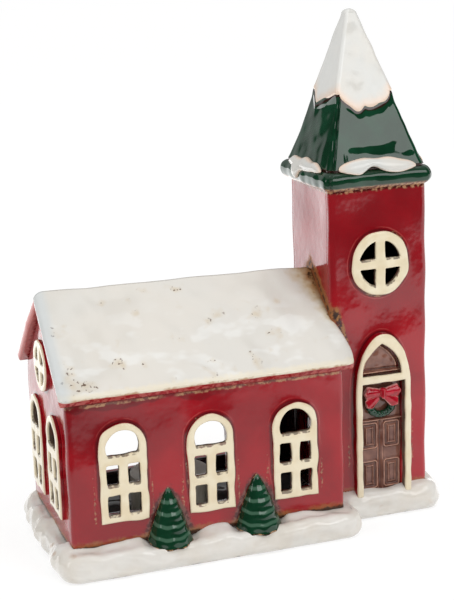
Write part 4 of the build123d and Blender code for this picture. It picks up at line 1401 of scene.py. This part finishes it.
# %% Base
def make_base():
    """Loops along the outline: the flat underside, half an ellipse round the edge, and the top to a line.

    Seeded waves push the edge out and in and lift the top, and a bank rises towards the walls."""
    plan = [(-base_half, -nave_base_half), (base_step, -nave_base_half), (base_step, -tower_base_half),
            (base_half, -tower_base_half), (base_half, tower_base_half), (base_step, tower_base_half),
            (base_step, nave_base_half), (-base_half, nave_base_half)]
    path = rounded_path(plan, base_corners, 1.0)
    ahead = np.roll(path, -3, 0) - np.roll(path, 3, 0)
    inward = np.stack([-ahead[:, 1], ahead[:, 0]], -1)
    inward /= np.linalg.norm(inward, axis=1, keepdims=True)
    spine = np.stack([np.clip(path[:, 0], -base_half + 40, base_half - 26), np.zeros(len(path))], -1)
    # The edge is half an ellipse, and underside and top run in from it to the line down the middle.
    roll = np.linspace(-np.pi / 2, np.pi / 2, 26)
    inset = base_roll * (1 - np.cos(roll))
    height = z_floor / 2 * (1 + np.sin(roll))
    edge = path[None] + inward[None] * inset[:, None, None]
    share = np.linspace(0, 1, 48)[1:, None, None] ** 1.3
    top = edge[-1][None] + (spine[None] - edge[-1][None]) * share
    bottom = edge[0][None] + (spine[None] - edge[0][None]) * share[::-1]
    plan_points = np.concatenate([bottom, edge, top])
    heights = np.concatenate([np.zeros(len(bottom)), height, np.full(len(top), z_floor)])
    heights = np.broadcast_to(heights[:, None, None], (*plan_points.shape[:2], 1))
    points = np.concatenate([plan_points, heights], -1)
    # Lumps push the edge out and in.
    lift = np.clip(points[..., 2] / z_floor, 0, 1)
    lumps = 0.95 * ripple(points, 26, 8) + 1.0 * ripple(points, 14, 9) + 0.45 * ripple(points, 9, 14)
    lumps = lumps + 0.5 * ripple(points, 11, 13) * np.clip((x_left + 14 - points[..., 0]) / 14, 0, 1)
    outwards = np.zeros_like(points)
    outwards[..., :2] = -inward[None]
    side = np.sin(np.pi * lift)[..., None]
    points = points + outwards * side * (lumps[..., None] - 0.9)
    # A bank lies along the walls, but not where a tree stands.
    wall = np.minimum(rectangle(points[..., 0] - x_nave, points[..., 1], nave_length / 2, y_nave),
                      rectangle(points[..., 0] - x_tower, points[..., 1], tower_width / 2, y_tower))
    uneven = np.clip(0.55 + 0.6 * ripple(points, 24, 10), 0, 1)
    bank = bank_height * np.exp(-np.abs(wall) / bank_reach) * uneven
    for node in ("tree_left", "tree_right"):
        low, high = corners(node)
        beside = np.abs(points[..., 0] - (low[0] + high[0]) / 2) - (high[0] - low[0]) / 2
        clear = np.clip(beside / 4, 0, 1)
        bank = np.where(points[..., 1] < 0, bank * clear - 0.9 * (1 - clear), bank)
    points[..., 2] += lift ** 2 * (np.maximum((lumps - 0.3) * 0.8, -0.7) + bank)
    inside = np.clip(-(wall + wall_thickness - 1.0) / 0.6, 0, 1) * (lift > 0.5)
    make_loops("drifted_snow_base", points, snow_glaze, "snow_glaze", "snow_base", inside=inside)


make_base()

# %% [markdown]
# ## Trees
#
# Two half-round trees lean against the front wall, and their feet hang over the edge of the snow. Cones
# could be stacked for them, but a pressed lump has no gaps between its tiers. So each is an oval carried up
# to the tip. Going down, the oval grows slowly within a tier and fast between tiers, so that every tier has
# a bright shoulder. The foot is scalloped, and the glaze is brown along the joint with the wall.


# %% Trees
def tree_finish():
    """Green, with a painted highlight of paler green on the tiers' shoulders, burnt and tan along the joint.
    """
    finish = Finish("tree_glaze")
    colour = green_coat(finish)
    grain = finish.cloud(1.6)
    # Painted highlight: the shoulders of the tiers are painted a paler green.
    thin = finish.mark("shoulder") + (finish.cloud(6.0) - 0.5) * 0.5
    colour = finish.mix(thin.fade(0.25, 0.9) * 0.75, colour, paint(74, 108, 88))
    rim = (finish.mark("joint") + (grain - 0.5) * 0.6).fade(0.35, 0.8)
    colour = finish.mix(rim * 0.85, colour, finish.mix(grain.fade(0.45, 0.6), burnt, tan))
    return finish.done(colour, gloss(finish), pour(finish), 0.04, ior=1.5)


tree_glaze = tree_finish()
tier_count = 5
tree_hang = 2.6


def make_tree(node, seed):
    """Oval rows from the tip down.

    grown is how far the oval has grown, slowly in a tier and quickly at its shoulder: the running sum of a
    wave. Half the oval is sunk in the wall."""
    low, high = corners(node)
    middle, half = (low[0] + high[0]) / 2, (high[0] - low[0]) / 2
    bulge = -y_nave - low[1]
    down = np.linspace(0, 1, 160)[:, None]
    turn = np.linspace(0, 2 * np.pi, 88, endpoint=False)[None]
    tier = 2 * np.pi * (down * tier_count - 0.15)
    pace = 1 + 0.5 * np.cos(tier)
    grown = np.cumsum(pace, 0) / pace.sum()
    scallop = 0.3 * np.cos(9 * turn + seed) * down ** 8
    front = np.maximum(np.sin(turn), 0)
    x = middle + (half + scallop) * (0.85 * down ** tree_power + 0.15 * grown) * np.cos(turn)
    bulged = (bulge + 1.4 + scallop) * grown ** 0.8 * front ** 0.8
    y = -y_nave - np.where(np.sin(turn) > 0, bulged, np.sin(turn))
    foot = low[2] - tree_hang * front ** 0.7 + 0.25 * np.cos(8 * turn + seed * 2)
    z = high[2] + 0.4 + (foot - high[2] - 0.4) * down
    points = np.stack([np.broadcast_to(x, z.shape), np.broadcast_to(y, z.shape), z], -1)
    points = points + 0.12 * ripple(points, 22, seed)[..., None] * np.array([1.0, 1.0, 0.4]) * down[..., None]
    # The last row shuts the foot in one point.
    shut = np.broadcast_to(np.array([middle, -y_nave - 3.0, low[2] - 0.5]), points[:1].shape)
    points = np.concatenate([points, shut])
    from_wall = np.clip(1 - (-y_nave - points[..., 1]) / 1.1, 0, 1)
    at_foot = np.zeros(points.shape[:2])
    at_foot[-5:] = 0.85
    # The mark shoulder lies on each tier's shoulder, where the finish paints a highlight.
    shoulder = np.concatenate([np.maximum(np.cos(tier), 0) ** 1.3, [[0.0]]])
    make_loops("tiered_" + node, points, tree_glaze, "green_glaze", node,
               joint=np.maximum(from_wall, at_foot), shoulder=np.broadcast_to(shoulder, points.shape[:2]))


make_tree("tree_left", 3)
make_tree("tree_right", 5)

# %% [markdown]
# ## White of the roof
#
# A thick white glaze lies over the roof, and the eave's edge and the underside were left red. The white is
# tan in smears towards the eave and scorched where it meets the tower. It could be a sheet of its own. On
# the real object both glazes lie on one slab, so the mark coat tells them apart.


# %% Roof finish
def roof_finish():
    """White over red: whiter patches as painted highlights, cracked ochre, tan at the eave, scorched at the
    tower.
    """
    finish = Finish("roof_glaze")
    grain = finish.cloud(2.2)
    x, y, z = (finish.along(axis) for axis in "XYZ")
    lip = z_eave + roof_thickness * np.cos(roof_pitch)
    white = finish.mix(finish.cloud(34).fade(0.35, 0.7) * 0.6, roof_white, snow_shade)
    # Painted highlights: whiter patches low on the roof stand for glints of a lamp in the wavy glaze.
    painted_glints = finish.cloud(9.0, 2.0, (0.6, 1.0, 1.0)).fade(0.5, 0.64) * z.fade(lip + 36, lip + 14)
    white = finish.mix(painted_glints * 0.5, white, painted_light_white)
    gathered = finish.cloud(11.0, 2.5) + z.fade(lip + 46, lip + 4) * 0.04
    white = finish.mix(gathered.fade(0.6, 0.8) * 0.5, white, ochre_haze)
    cracks = finish.cloud(1.7, 4.0).fade(0.6, 0.65)
    white = finish.mix(gathered.fade(0.635, 0.68) * cracks * 0.9, white, paint(84, 54, 32))
    # Cream and rubbed tan along the eave, and a shaded verge at the gable.
    white = finish.mix((z + (grain - 0.5) * 2.4).fade(lip + 3.4, lip + 1.2) * 0.6, white, cream)
    rubbed = (z + (grain - 0.5) * 2.0).fade(lip + 0.9, lip - 0.1) * finish.cloud(8.0).fade(0.4, 0.6)
    white = finish.mix(rubbed, white, tan)
    white = finish.mix(x.fade(roof_low[0] + 7.0, roof_low[0] + 2.4) * 0.6, white, shaded_white)
    # Ochre, then burnt, towards the tower.
    to_ridge = abs(y).fade(26, 0)
    past_tower = abs(y).fade(y_tower - 2, y_tower + 8)
    near_tower = x + to_ridge * 9.0 - past_tower * 9.0 + (finish.cloud(4.0, 5.0) - 0.5) * 10.0
    white = finish.mix(near_tower.fade(x_join - 6.0, x_join + 3.0) * 0.7, white, ochre_haze)
    white = finish.mix(near_tower.fade(x_join, x_join + 7.0) * 0.85, white, ochre)
    scorched = (near_tower + (grain - 0.5) * 18.0).fade(x_join + 6.0, x_join + 10.0)
    white = finish.mix(scorched * 0.9, white, burnt)
    # Red at the eave's edge and underneath, thin along its line with the white, and paler towards the gable
    # end as a painted reflection of the bright back.
    red = finish.mix(grain.fade(0.4, 0.58) * z.fade(z_eave - 1, z_eave + 1) * 0.7, red_coat(finish), thin_red)
    red = finish.mix(x.fade(roof_low[0] + 3.6, roof_low[0] + 0.4) * 0.8, red, thin_red)
    coat = finish.mark("coat") + (finish.cloud(3.0) - 0.5) * 0.35
    colour = finish.mix(coat.fade(0.44, 0.56), red, white)
    colour = finish.mix(abs(coat - 0.52).fade(0.2, 0.05) * 0.6, colour, thin_red)
    relief = finish.cloud(13.0, 2.0) + finish.cloud(2.0, 2.0) * 0.03
    return finish.done(colour, gloss(finish) + 0.12, relief, 0.16, ior=1.5)


roof_glaze = roof_finish()

# %% [markdown]
# ## Roof
#
# Two slabs meet at the ridge. Each could be a bevelled board. The surface is the slab's section, a long
# loop with a square eave, carried from one gable to the other. Near the ends the loop closes to a line,
# which gives the round verge, and by the tower its end laps a little way in front of the wall.

# %% Roof
verge_round, under_round = 4.6, 1.0
eave_round = 1.3
corner_round = 2.4
lap, far_lap = 4.0, 1.0


def make_roof(node, side):
    """One slope as loops round its section; side is -1 for the front one.

    On the loop, s runs down the slope and n out of it, as a share of half the thickness. The loop shrinks to
    a line along a quarter circle at both ends, and in front of the tower its end is pushed past the wall."""
    length = (roof_high[1] - roof_low[1]) / np.cos(roof_pitch)
    half = roof_thickness / 2
    # The section: down the top, round the square eave and home along the underside.
    arc = np.linspace(0, np.pi / 2, 7)
    down = np.linspace(0, 1, 80) * (length - eave_round)
    straight = np.linspace(1, -1, 7)[1:-1] * (half - eave_round)
    lip = length - eave_round + eave_round * np.sin(arc[1:])
    level = half - eave_round + eave_round * np.cos(arc[1:])
    s = np.concatenate([down, lip, np.full(len(straight), length), lip[::-1], down[::-1], np.zeros(5)])
    n = np.concatenate([np.full(len(down), half), level, straight, -level[::-1], np.full(len(down), -half),
                        np.linspace(-half, half, 7)[1:-1]]) / half
    # Where the sections stand, and how far each has swollen from its line at the end.
    ends = verge_round * (1 - np.cos(np.linspace(0, np.pi / 2, 12)))
    x = np.concatenate([roof_low[0] + ends,
                        np.linspace(roof_low[0] + verge_round, roof_high[0] - verge_round, 150)[1:-1],
                        roof_high[0] - ends[::-1]])
    from_end = np.minimum(x - roof_low[0], roof_high[0] - x)[:, None]
    swell = np.sqrt(1 - (1 - np.clip(from_end / np.where(n > 0, verge_round, under_round), 0, 1)) ** 2)
    depth = half * (1 - n[None] * swell)
    mitre = depth * np.tan(roof_pitch) * np.clip(1 - s / length, 0, 1)[None]
    along = s[None] + mitre - corner_round * (1 - swell) * (s[None] / length) ** 6
    y = -along * np.cos(roof_pitch) + depth * np.sin(roof_pitch)
    z = z_ridge - along * np.sin(roof_pitch) - depth * np.cos(roof_pitch)
    # By the tower the end laps in front of its wall. At the gable the rear slab reaches a little further out.
    share = (x[:, None] - roof_low[0]) / (roof_high[0] - roof_low[0])
    before = -y - y_tower
    past = lap * np.clip(4 * share - 3, 0, 1) * np.sqrt(np.clip((before + 1.0) / 13, 0, 1))
    past = past * (1 - 0.95 * np.clip((before - 10) / 13, 0, 1) ** 1.5)
    past = past - far_lap * (side > 0) * np.clip(1 - 5 * share, 0, 1) * np.clip(-y / 16, 0, 1)
    # The ridge falls a little towards the tower and waves, and the top is lumpy.
    wavy = 0.4 * ripple(x[:, None, None] * np.array([1.0, 0.0, 0.0]), 36, 15)
    z = z + (0.5 - 1.9 * share + wavy) * np.clip(1 - s / length, 0, 1)
    points = np.stack([x[:, None] + past, -side * y, z], -1)
    upward = np.array([0, side * np.sin(roof_pitch), np.cos(roof_pitch)])
    top = np.clip(n * 0.5 + 0.5, 0, 1)[None]
    lumps = 0.5 * ripple(points, 30, 11) + 0.22 * ripple(points, 13, 12)
    keep = np.clip(np.abs(points[..., 1]) / 6, 0, 1)
    points = points + upward * (top * swell * (lumps * 0.8 - 0.1) * (0.4 + 0.6 * keep))[..., None]
    coat = np.broadcast_to(np.clip((n - 0.5) / 0.3 + 0.35, 0, 1)[None], y.shape)
    make_loops("snowy_" + node, points, roof_glaze, "snow_glaze", node, coat=coat)


make_roof("roof_front_slab", -1)
make_roof("roof_rear_slab", 1)

# %% [markdown]
# ## Edge of the snow on the spire
#
# The green glaze of the spire stands in a welt along the lower edge of its snow, so that edge is settled
# first. It could be a curve drawn by hand. It is a formula of the place across each face, how far the snow
# drops below the corners, because the spire and its snow both need it.


# %% Squares and the snow's edge
def square_path(count):
    """A unit square's outline: points on it, the directions that its corners round to, and places across.

    A square of half width a with corners of radius r is then (a - r) x point + r x direction."""
    arc = np.linspace(0, np.pi / 2, 9)
    run = np.linspace(-1, 1, count)[1:-1]
    places, directions = [], []
    for turn in range(4):
        angle = turn * np.pi / 2
        spin = np.array([[np.cos(angle), np.sin(angle)], [-np.sin(angle), np.cos(angle)]])
        places.append(np.stack([run, np.full(len(run), -1.0)], -1) @ spin)
        directions.append(np.tile([0.0, -1.0], (len(run), 1)) @ spin)
        places.append(np.tile([1.0, -1.0], (len(arc), 1)) @ spin)
        directions.append(np.stack([np.sin(arc), -np.cos(arc)], -1) @ spin)
    across = np.tile(np.concatenate([run, np.ones(len(arc))]), 4)
    return np.concatenate(places), np.concatenate(directions), across


square_place, square_direction, spot = square_path(50)
cap_corner_z = z_tower + 43.0


def bell(place, width):
    """A bump of height 1 over the place across a face, where the corners are at -1 and 1."""
    return np.exp(-((spot - place) / width) ** 2)


broad_lobes = 7.0 * (1 - spot ** 2) ** 0.7 + 1.6 * bell(-0.33, 0.2) - 0.8 * bell(-0.07, 0.08)
pointed_lobe = 6.6 * np.where(spot < -0.37, (np.abs(spot + 1) / 0.63) ** 1.6, (1 - spot) / 1.37)
side_of = np.repeat(np.arange(4), len(spot) // 4)
cap_edge = cap_corner_z - np.where(side_of % 2 == 0, broad_lobes, pointed_lobe)
print("the snow ends at", round(cap_edge.min(), 1), "to", round(cap_edge.max(), 1), "mm")

# %% [markdown]
# ## Green of the spire
#
# The green of the spire is the deepest glaze: tan under the rim where it thins, and burnt along the snow.
# It could be left plain, as it is nearly black. What shows on it is what it mirrors, so its relief of slow
# swells and upright streaks breaks the mirrored light up as the real glaze does.


# %% Green of the spire
def spire_finish():
    """Green, tan under the rim where the glaze thins, and burnt along the snow."""
    finish = Finish("green_glaze")
    colour = green_coat(finish)
    grain = finish.cloud(2.0)
    under = (finish.along("Z") + (grain - 0.5) * 1.6).fade(z_tower + 2.4, z_tower + 1.2)
    colour = finish.mix(under, colour, finish.mix(grain.fade(0.4, 0.6), deep_brown, tan))
    crust = (finish.mark("crust") + (grain - 0.5) * 0.5).fade(0.3, 0.7)
    colour = finish.mix(crust, colour, burnt)
    relief = finish.cloud(14.0, 2.0) + finish.cloud(5.0, 2.0, (1.0, 1.0, 0.12)) * 0.3
    return finish.done(colour, finish.cloud(12) * 0.05 + 0.025, relief, 0.28, ior=1.5)


green_glaze = spire_finish()

# %% [markdown]
# ## Squares of the spire
#
# Cut level anywhere, the spire is a square with round corners, and its squares lean a little to the left.
# They could be copies of one square. Each has its own half width, corner and middle, so that the lean and
# the lumps go all the way up.

# %% Squares of the spire
spire_tip_half = 1.5
spire_shift, spire_tip_lean = -0.9, -2.4
spire_corner, spire_thickness = 1.5, 5.0
z_tip = spire_high[2] - 2.8
rim_height = 9.0
z_rim = z_tower + rim_height
spire_foot_half = (x_right - x_join) / 2 + 0.1
rim_half = (spire_high[0] - spire_low[0]) / 2
spire_lean = (spire_foot_half - spire_tip_half) / (spire_high[2] - z_rim)
rim_roll = 3.4
welt, foot_flare, flare_reach = 0.6, 0.7, 5.0


def slope_half(z):
    """The spire's half width at a height on its slopes."""
    return spire_foot_half - (z - z_rim) * spire_lean


def spire_axis(z):
    """The spire stands a little askew: the middle of its square at each height."""
    lean = spire_tip_lean * np.clip((z - z_rim) / (spire_high[2] - z_rim), 0, 1)
    return np.stack([x_tower + spire_shift + lean, 0 * z], -1)


def squares(half, z, corner):
    """Rounded squares about the spire's axis, one for each half width and height."""
    corner = np.minimum(corner, half)
    flat = (half - corner)[..., None] * square_place + corner[..., None] * square_direction
    z = np.broadcast_to(z, flat.shape[:-1])
    return np.concatenate([flat + spire_axis(z), z[..., None]], -1)


def swollen(points, lumps):
    """Moves points away from the spire's axis."""
    away = points[..., :2] - spire_axis(points[..., 2])
    away /= np.maximum(np.linalg.norm(away, axis=-1, keepdims=True), 1.0)
    return points + np.concatenate([away, 0 * away[..., :1]], -1) * lumps[..., None]


print("the slopes lean in by", round(spire_lean, 3), "mm in each millimetre")

# %% [markdown]
# ## Spire
#
# The spire is a hollow pyramid with a rolled rim at its foot. It could be a cone with four sides. Its
# surface is a square with round corners, carried up a list of heights and half widths, because that gives
# the hollow, the rim and the slopes in one piece without a seam. The glaze ran as it melted, so it shows a
# fold low on the front and faint streaks down the left.


# %% Spire
def make_spire():
    """Rounded squares up a list of half widths and heights: the hollow, the rolled rim, the slopes, the tip.

    The surface is then moved out by lumps and by the welt along the snow, and in by the folds."""
    inner = spire_foot_half - spire_thickness
    hollow = np.linspace(0.0, inner, 12)
    hollow_z = z_rim + (inner - hollow) / spire_lean
    roll = np.linspace(-np.pi / 2, np.pi / 2, 19)
    tip = np.linspace(0, np.pi / 2, 8)
    slope_z = np.linspace(z_rim + 0.5, z_tip, 110)
    half = np.concatenate([hollow, [inner], rim_half - rim_roll + rim_roll * np.cos(roll),
                           slope_half(slope_z) + foot_flare * np.exp(-(slope_z - slope_z[0]) / flare_reach),
                           slope_half(slope_z[-1]) * np.cos(tip[1:])])
    z = np.concatenate([hollow_z, [z_tower], z_tower + rim_height / 2 * (1 + np.sin(roll)), slope_z,
                        slope_z[-1] + 1.9 * np.sin(tip[1:])])
    corner = spire_corner + 1.2 * np.clip(1 - (z - z_rim) / 34, 0, 1)
    points = squares(half[:, None], z[:, None], corner[:, None])
    below = cap_edge[None] - points[..., 2]
    outer = (half > rim_half - rim_roll - 2) | (np.arange(len(half)) > len(hollow))
    lumps = 0.2 * ripple(points, 19, 21) + 0.1 * ripple(points, 8, 22)
    lumps = lumps + welt * line_of(below, 2.6) * outer[:, None]
    # On the front the glaze slid into a fold, a step in the surface that slants across the face.
    over_rim = points[..., 2] - z_rim - 8.4 + 2.4 * spot
    fold = 1 / (1 + np.exp(-over_rim / (1.0 + 0.7 * np.clip(spot, 0, 1))))
    fold_depth = (0.5 + 0.7 * np.clip(spot + 0.7, 0, 1)) * np.clip((spot + 0.8) / 0.2, 0, 1)
    lumps = lumps + (fold - 1) * fold_depth * (side_of == 0)
    # The left face falls back towards its front corner and is streaked.
    turned = 1.7 * np.clip((spot + 0.1) / 1.1, 0, 1) ** 2
    streaks = 0.17 * ripple(points * (1.0, 1.0, 0.12), 8, 24)
    lumps = lumps + (streaks - turned * np.clip((cap_edge - points[..., 2]) / 6, 0, 1)) * (side_of == 3)
    points = swollen(points, lumps)
    crust = np.exp(-((below - 0.3) / 0.8) ** 2) + np.exp(-((points[..., 2] - z_rim - 0.4) / 0.7) ** 2)
    make_loops("glazed_spire", points, green_glaze, "green_glaze", "spire", crust=crust)


make_spire()

# %% [markdown]
# ## Snow on the tip
#
# The cap is thick white glaze over the tip, which ran down each face and stopped in lobes. A copy of the
# tip could be pushed outwards. The cap follows the spire's squares a little further out, down to the edge
# settled before, and swells to a round lip there. On the left face it is painted whiter, as painted light.


# %% Snow cap
def drift_finish():
    """White glaze that turns peach towards its thin edges, and that on the left face, at the mark thick, is
    painted whiter as painted light.
    """
    finish = Finish("drift_glaze")
    colour = finish.mix(finish.cloud(15).fade(0.35, 0.7), paint(213, 213, 209), roof_white)
    # Painted light: the left face, where the mark thick is 1, is painted whiter.
    colour = finish.mix(finish.mark("thick") * 0.6, colour, painted_light_white)
    lip = finish.mark("lip") + (finish.cloud(3.0) - 0.5) * 0.4
    colour = finish.mix(lip.fade(0.1, 0.95) * 0.8, colour, peach)
    return finish.done(colour, gloss(finish) + 0.1, pour(finish), 0.3, ior=1.5)


drift_glaze = drift_finish()
cap_thickness = 0.75
lip_share = 0.05


def make_cap():
    """Rounded squares outside the slopes, from the snow's edge to the tip, and others inside them.

    The lip at the edge swells along a quarter circle."""
    share = np.linspace(0, 1, 60)[:, None] ** 1.4
    round_lip = np.sqrt(1 - (1 - np.clip(share / lip_share, 0, 1)) ** 2)
    z_out = cap_edge + (z_tip - cap_edge) * share
    half_out = slope_half(z_out) + cap_thickness * round_lip
    tip = np.linspace(0, np.pi / 2, 8)[1:, None]
    tip_half = half_out[-1] * np.cos(tip)
    tip_z = z_tip + 2.6 * np.sin(tip) * np.ones(len(cap_edge))
    z_in = z_out[::-1] + 0.6
    half_in = np.maximum(slope_half(z_in) - 0.7, 0.0)
    half = np.concatenate([np.zeros((1, len(cap_edge))), half_in, half_out, tip_half])
    z = np.concatenate([z_in[:1], z_in, z_out, tip_z])
    points = squares(half, z, spire_corner)
    lumps = 0.25 * ripple(points, 14, 31) + 0.1 * ripple(points, 7, 32)
    points = swollen(points, lumps * np.clip(half / 4, 0, 1))
    lip = np.clip(1 - (z - cap_edge) / 9.0, 0, 1) ** 1.5
    # The mark thick is 1 on the left face, which the finish paints whiter as painted light.
    make_loops("snowy_spire_cap", points, drift_glaze, "snow_glaze", "spire_snow_cap",
               lip=lip, thick=np.broadcast_to(side_of == 3, lip.shape))


make_cap()

# %% [markdown]
# ## Snow on the rim
#
# On the rim lie long pillows of snow. They could be lumps set in a row. These were rolled and pressed down,
# so each is an oval between a lower and an upper line, carried along one side of the rim. On the left the
# snow ran down over the rim.

# %% Snow on the rim
pillow_reach = 19.5
pillow_out = 2.3
pillow_bed = spire_foot_half + 1.2


def pillow(quarter, lower, upper, seed):
    """An oval between two lines, carried along one side of the rim and closed at both ends."""
    along = np.linspace(-1, 1, 90)
    turn = np.linspace(0, 2 * np.pi, 40, endpoint=False)
    shut = np.sqrt(np.clip(1 - np.abs(along) ** 3.5, 0, 1))
    middle = (lower(along) + upper(along)) / 2
    tall = (upper(along) - lower(along)) / 2 * shut
    thick = pillow_out * shut * (0.8 + 0.2 * np.clip(tall / 3, 0, 1))
    z = middle[:, None] + tall[:, None] * np.sin(turn)
    on_spire = np.maximum(slope_half(np.maximum(z, z_rim)), 0) + 0.3
    up_rim = (z - z_rim + rim_height / 2) / (rim_height / 2)
    over_rim = rim_half - rim_roll + rim_roll * np.sqrt(np.clip(1 - up_rim ** 2, 0, 1))
    upper_bed = np.maximum(on_spire, pillow_bed - (z - z_rim) * 0.25)
    bed = np.where(z > z_rim, upper_bed, np.maximum(over_rim - 0.3, pillow_bed))
    out = bed + thick[:, None] * np.cos(turn)
    angle = quarter * np.pi / 2
    spin = np.array([[np.cos(angle), np.sin(angle)], [-np.sin(angle), np.cos(angle)]])
    flat = np.stack([np.broadcast_to(along[:, None] * pillow_reach, out.shape), -out], -1) @ spin
    points = np.concatenate([flat, z[..., None]], -1) + np.array([x_tower + spire_shift, 0, 0])
    lumps = ripple(points, 8, seed)[..., None] * 0.3 * np.clip(tall / 2, 0, 1)[:, None, None]
    lip = 1 - shut[:, None] * np.clip(1.15 - np.abs(np.sin(turn)) ** 3, 0, 1)
    return points + lumps * UP, lip


def make_pillows():
    """One pillow a side: its lower line has a hump, and its upper line is an arch, wavy on the left."""
    def hump(t, place, width):
        return np.exp(-((t - place) / width) ** 2)

    def lobed(t):
        return z_rim - 1.8 + 3.2 * hump(t, -0.12, 0.24)

    def drifted(t):
        return z_rim - 1.6 - 4.6 * hump(t, -0.3, 0.2)

    def arched(t):
        return z_rim + 5.4 - 1.6 * (t + 0.2) ** 2

    def ragged(t):
        return z_rim + 3.6 - 1.6 * t ** 2 + 0.5 * np.cos(9 * t)

    lines = [(lobed, arched), (lobed, arched), (lobed, arched), (drifted, ragged)]
    made = [pillow(quarter, lower, upper, 33 + quarter) for quarter, (lower, upper) in enumerate(lines)]
    points = np.stack([points for points, _ in made])
    lip = np.stack([lip for _, lip in made])
    make_loops("snow_pillows", points, drift_glaze, "snow_glaze", "spire_eave_snow", lip=lip)


make_pillows()

# %% [markdown]
# ## Tealight
#
# The battery tealight stands inside and comes out through the opening at the back. Its pieces could be
# drawn again here. They are moulded or stamped, so their CAD shapes are right already and only need
# finishes: ivory plastic with a fine grain, a milky flame, a laminate board with copper tracks, a clear
# lens, brushed steel and brass.


# %% Tealight finishes
def moulded(name, colour, roughness, grain=0.7, **constants):
    """Moulded plastic: a fine spark-eroded grain, and faint cloudiness in its colour and sheen."""
    finish = Finish(name)
    faint = finish.cloud(6.0).fade(0.3, 0.7)
    darker = tuple(c * 0.88 for c in colour[:3]) + (1.0,)
    mixed = finish.mix(faint, colour, darker)
    return finish.done(mixed, faint * 0.12 + roughness, finish.cloud(grain, 1.0), 0.03, **constants)


def metal(name, colour, stretch):
    """Brushed metal: noise drawn out along the brush strokes, in its sheen and its relief."""
    finish = Finish(name)
    strokes = finish.cloud(0.8, 4.0, stretch)
    darker = tuple(c * 0.75 for c in colour[:3]) + (1.0,)
    mixed = finish.mix(strokes, colour, darker)
    return finish.done(mixed, strokes * 0.25 + 0.18, strokes, 0.02, metallic=1.0)


def laminate(name):
    """A circuit board: green lacquer over copper tracks, which show as paler lines."""
    finish = Finish(name)
    lines = abs(finish.node("ShaderNodeTexWave", {"bands_direction": "DIAGONAL"},
                            {"Vector": finish.place, "Scale": 0.12, "Distortion": 3.0}, output="Fac") - 0.5)
    track = lines.fade(0.16, 0.1)
    colour = finish.mix(track, paint(20, 84, 52), paint(58, 128, 78))
    return finish.done(colour, finish.cloud(3.0) * 0.15 + 0.25, track, 0.04)


tealight_finishes = {
    "tealight_shell": moulded("shell_plastic", paint(238, 232, 216), 0.38),
    "tealight_flame": moulded("flame_plastic", paint(250, 226, 176), 0.3, 2.0, subsurface_weight=0.35),
    "tealight_board": laminate("board_laminate"),
    "tealight_led": moulded("led_lens", paint(250, 236, 200), 0.08, 3.0, transmission_weight=0.7),
    "tealight_coin_cell": metal("cell_steel", paint(200, 200, 198), (0.1, 2.0, 1.0)),
    "tealight_contacts": metal("contact_brass", paint(214, 178, 104), (2.0, 0.1, 1.0)),
    "tealight_bottom_plate": moulded("plate_plastic", paint(230, 224, 208), 0.45),
    "tealight_battery_hatch": moulded("hatch_plastic", paint(226, 219, 202), 0.42),
    "tealight_switch": moulded("switch_plastic", paint(34, 34, 36), 0.4),
}
for node, material in tealight_finishes.items():
    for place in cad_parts[node].material_slots:
        place.material = material
print("tealight pieces:", len(tealight_finishes))
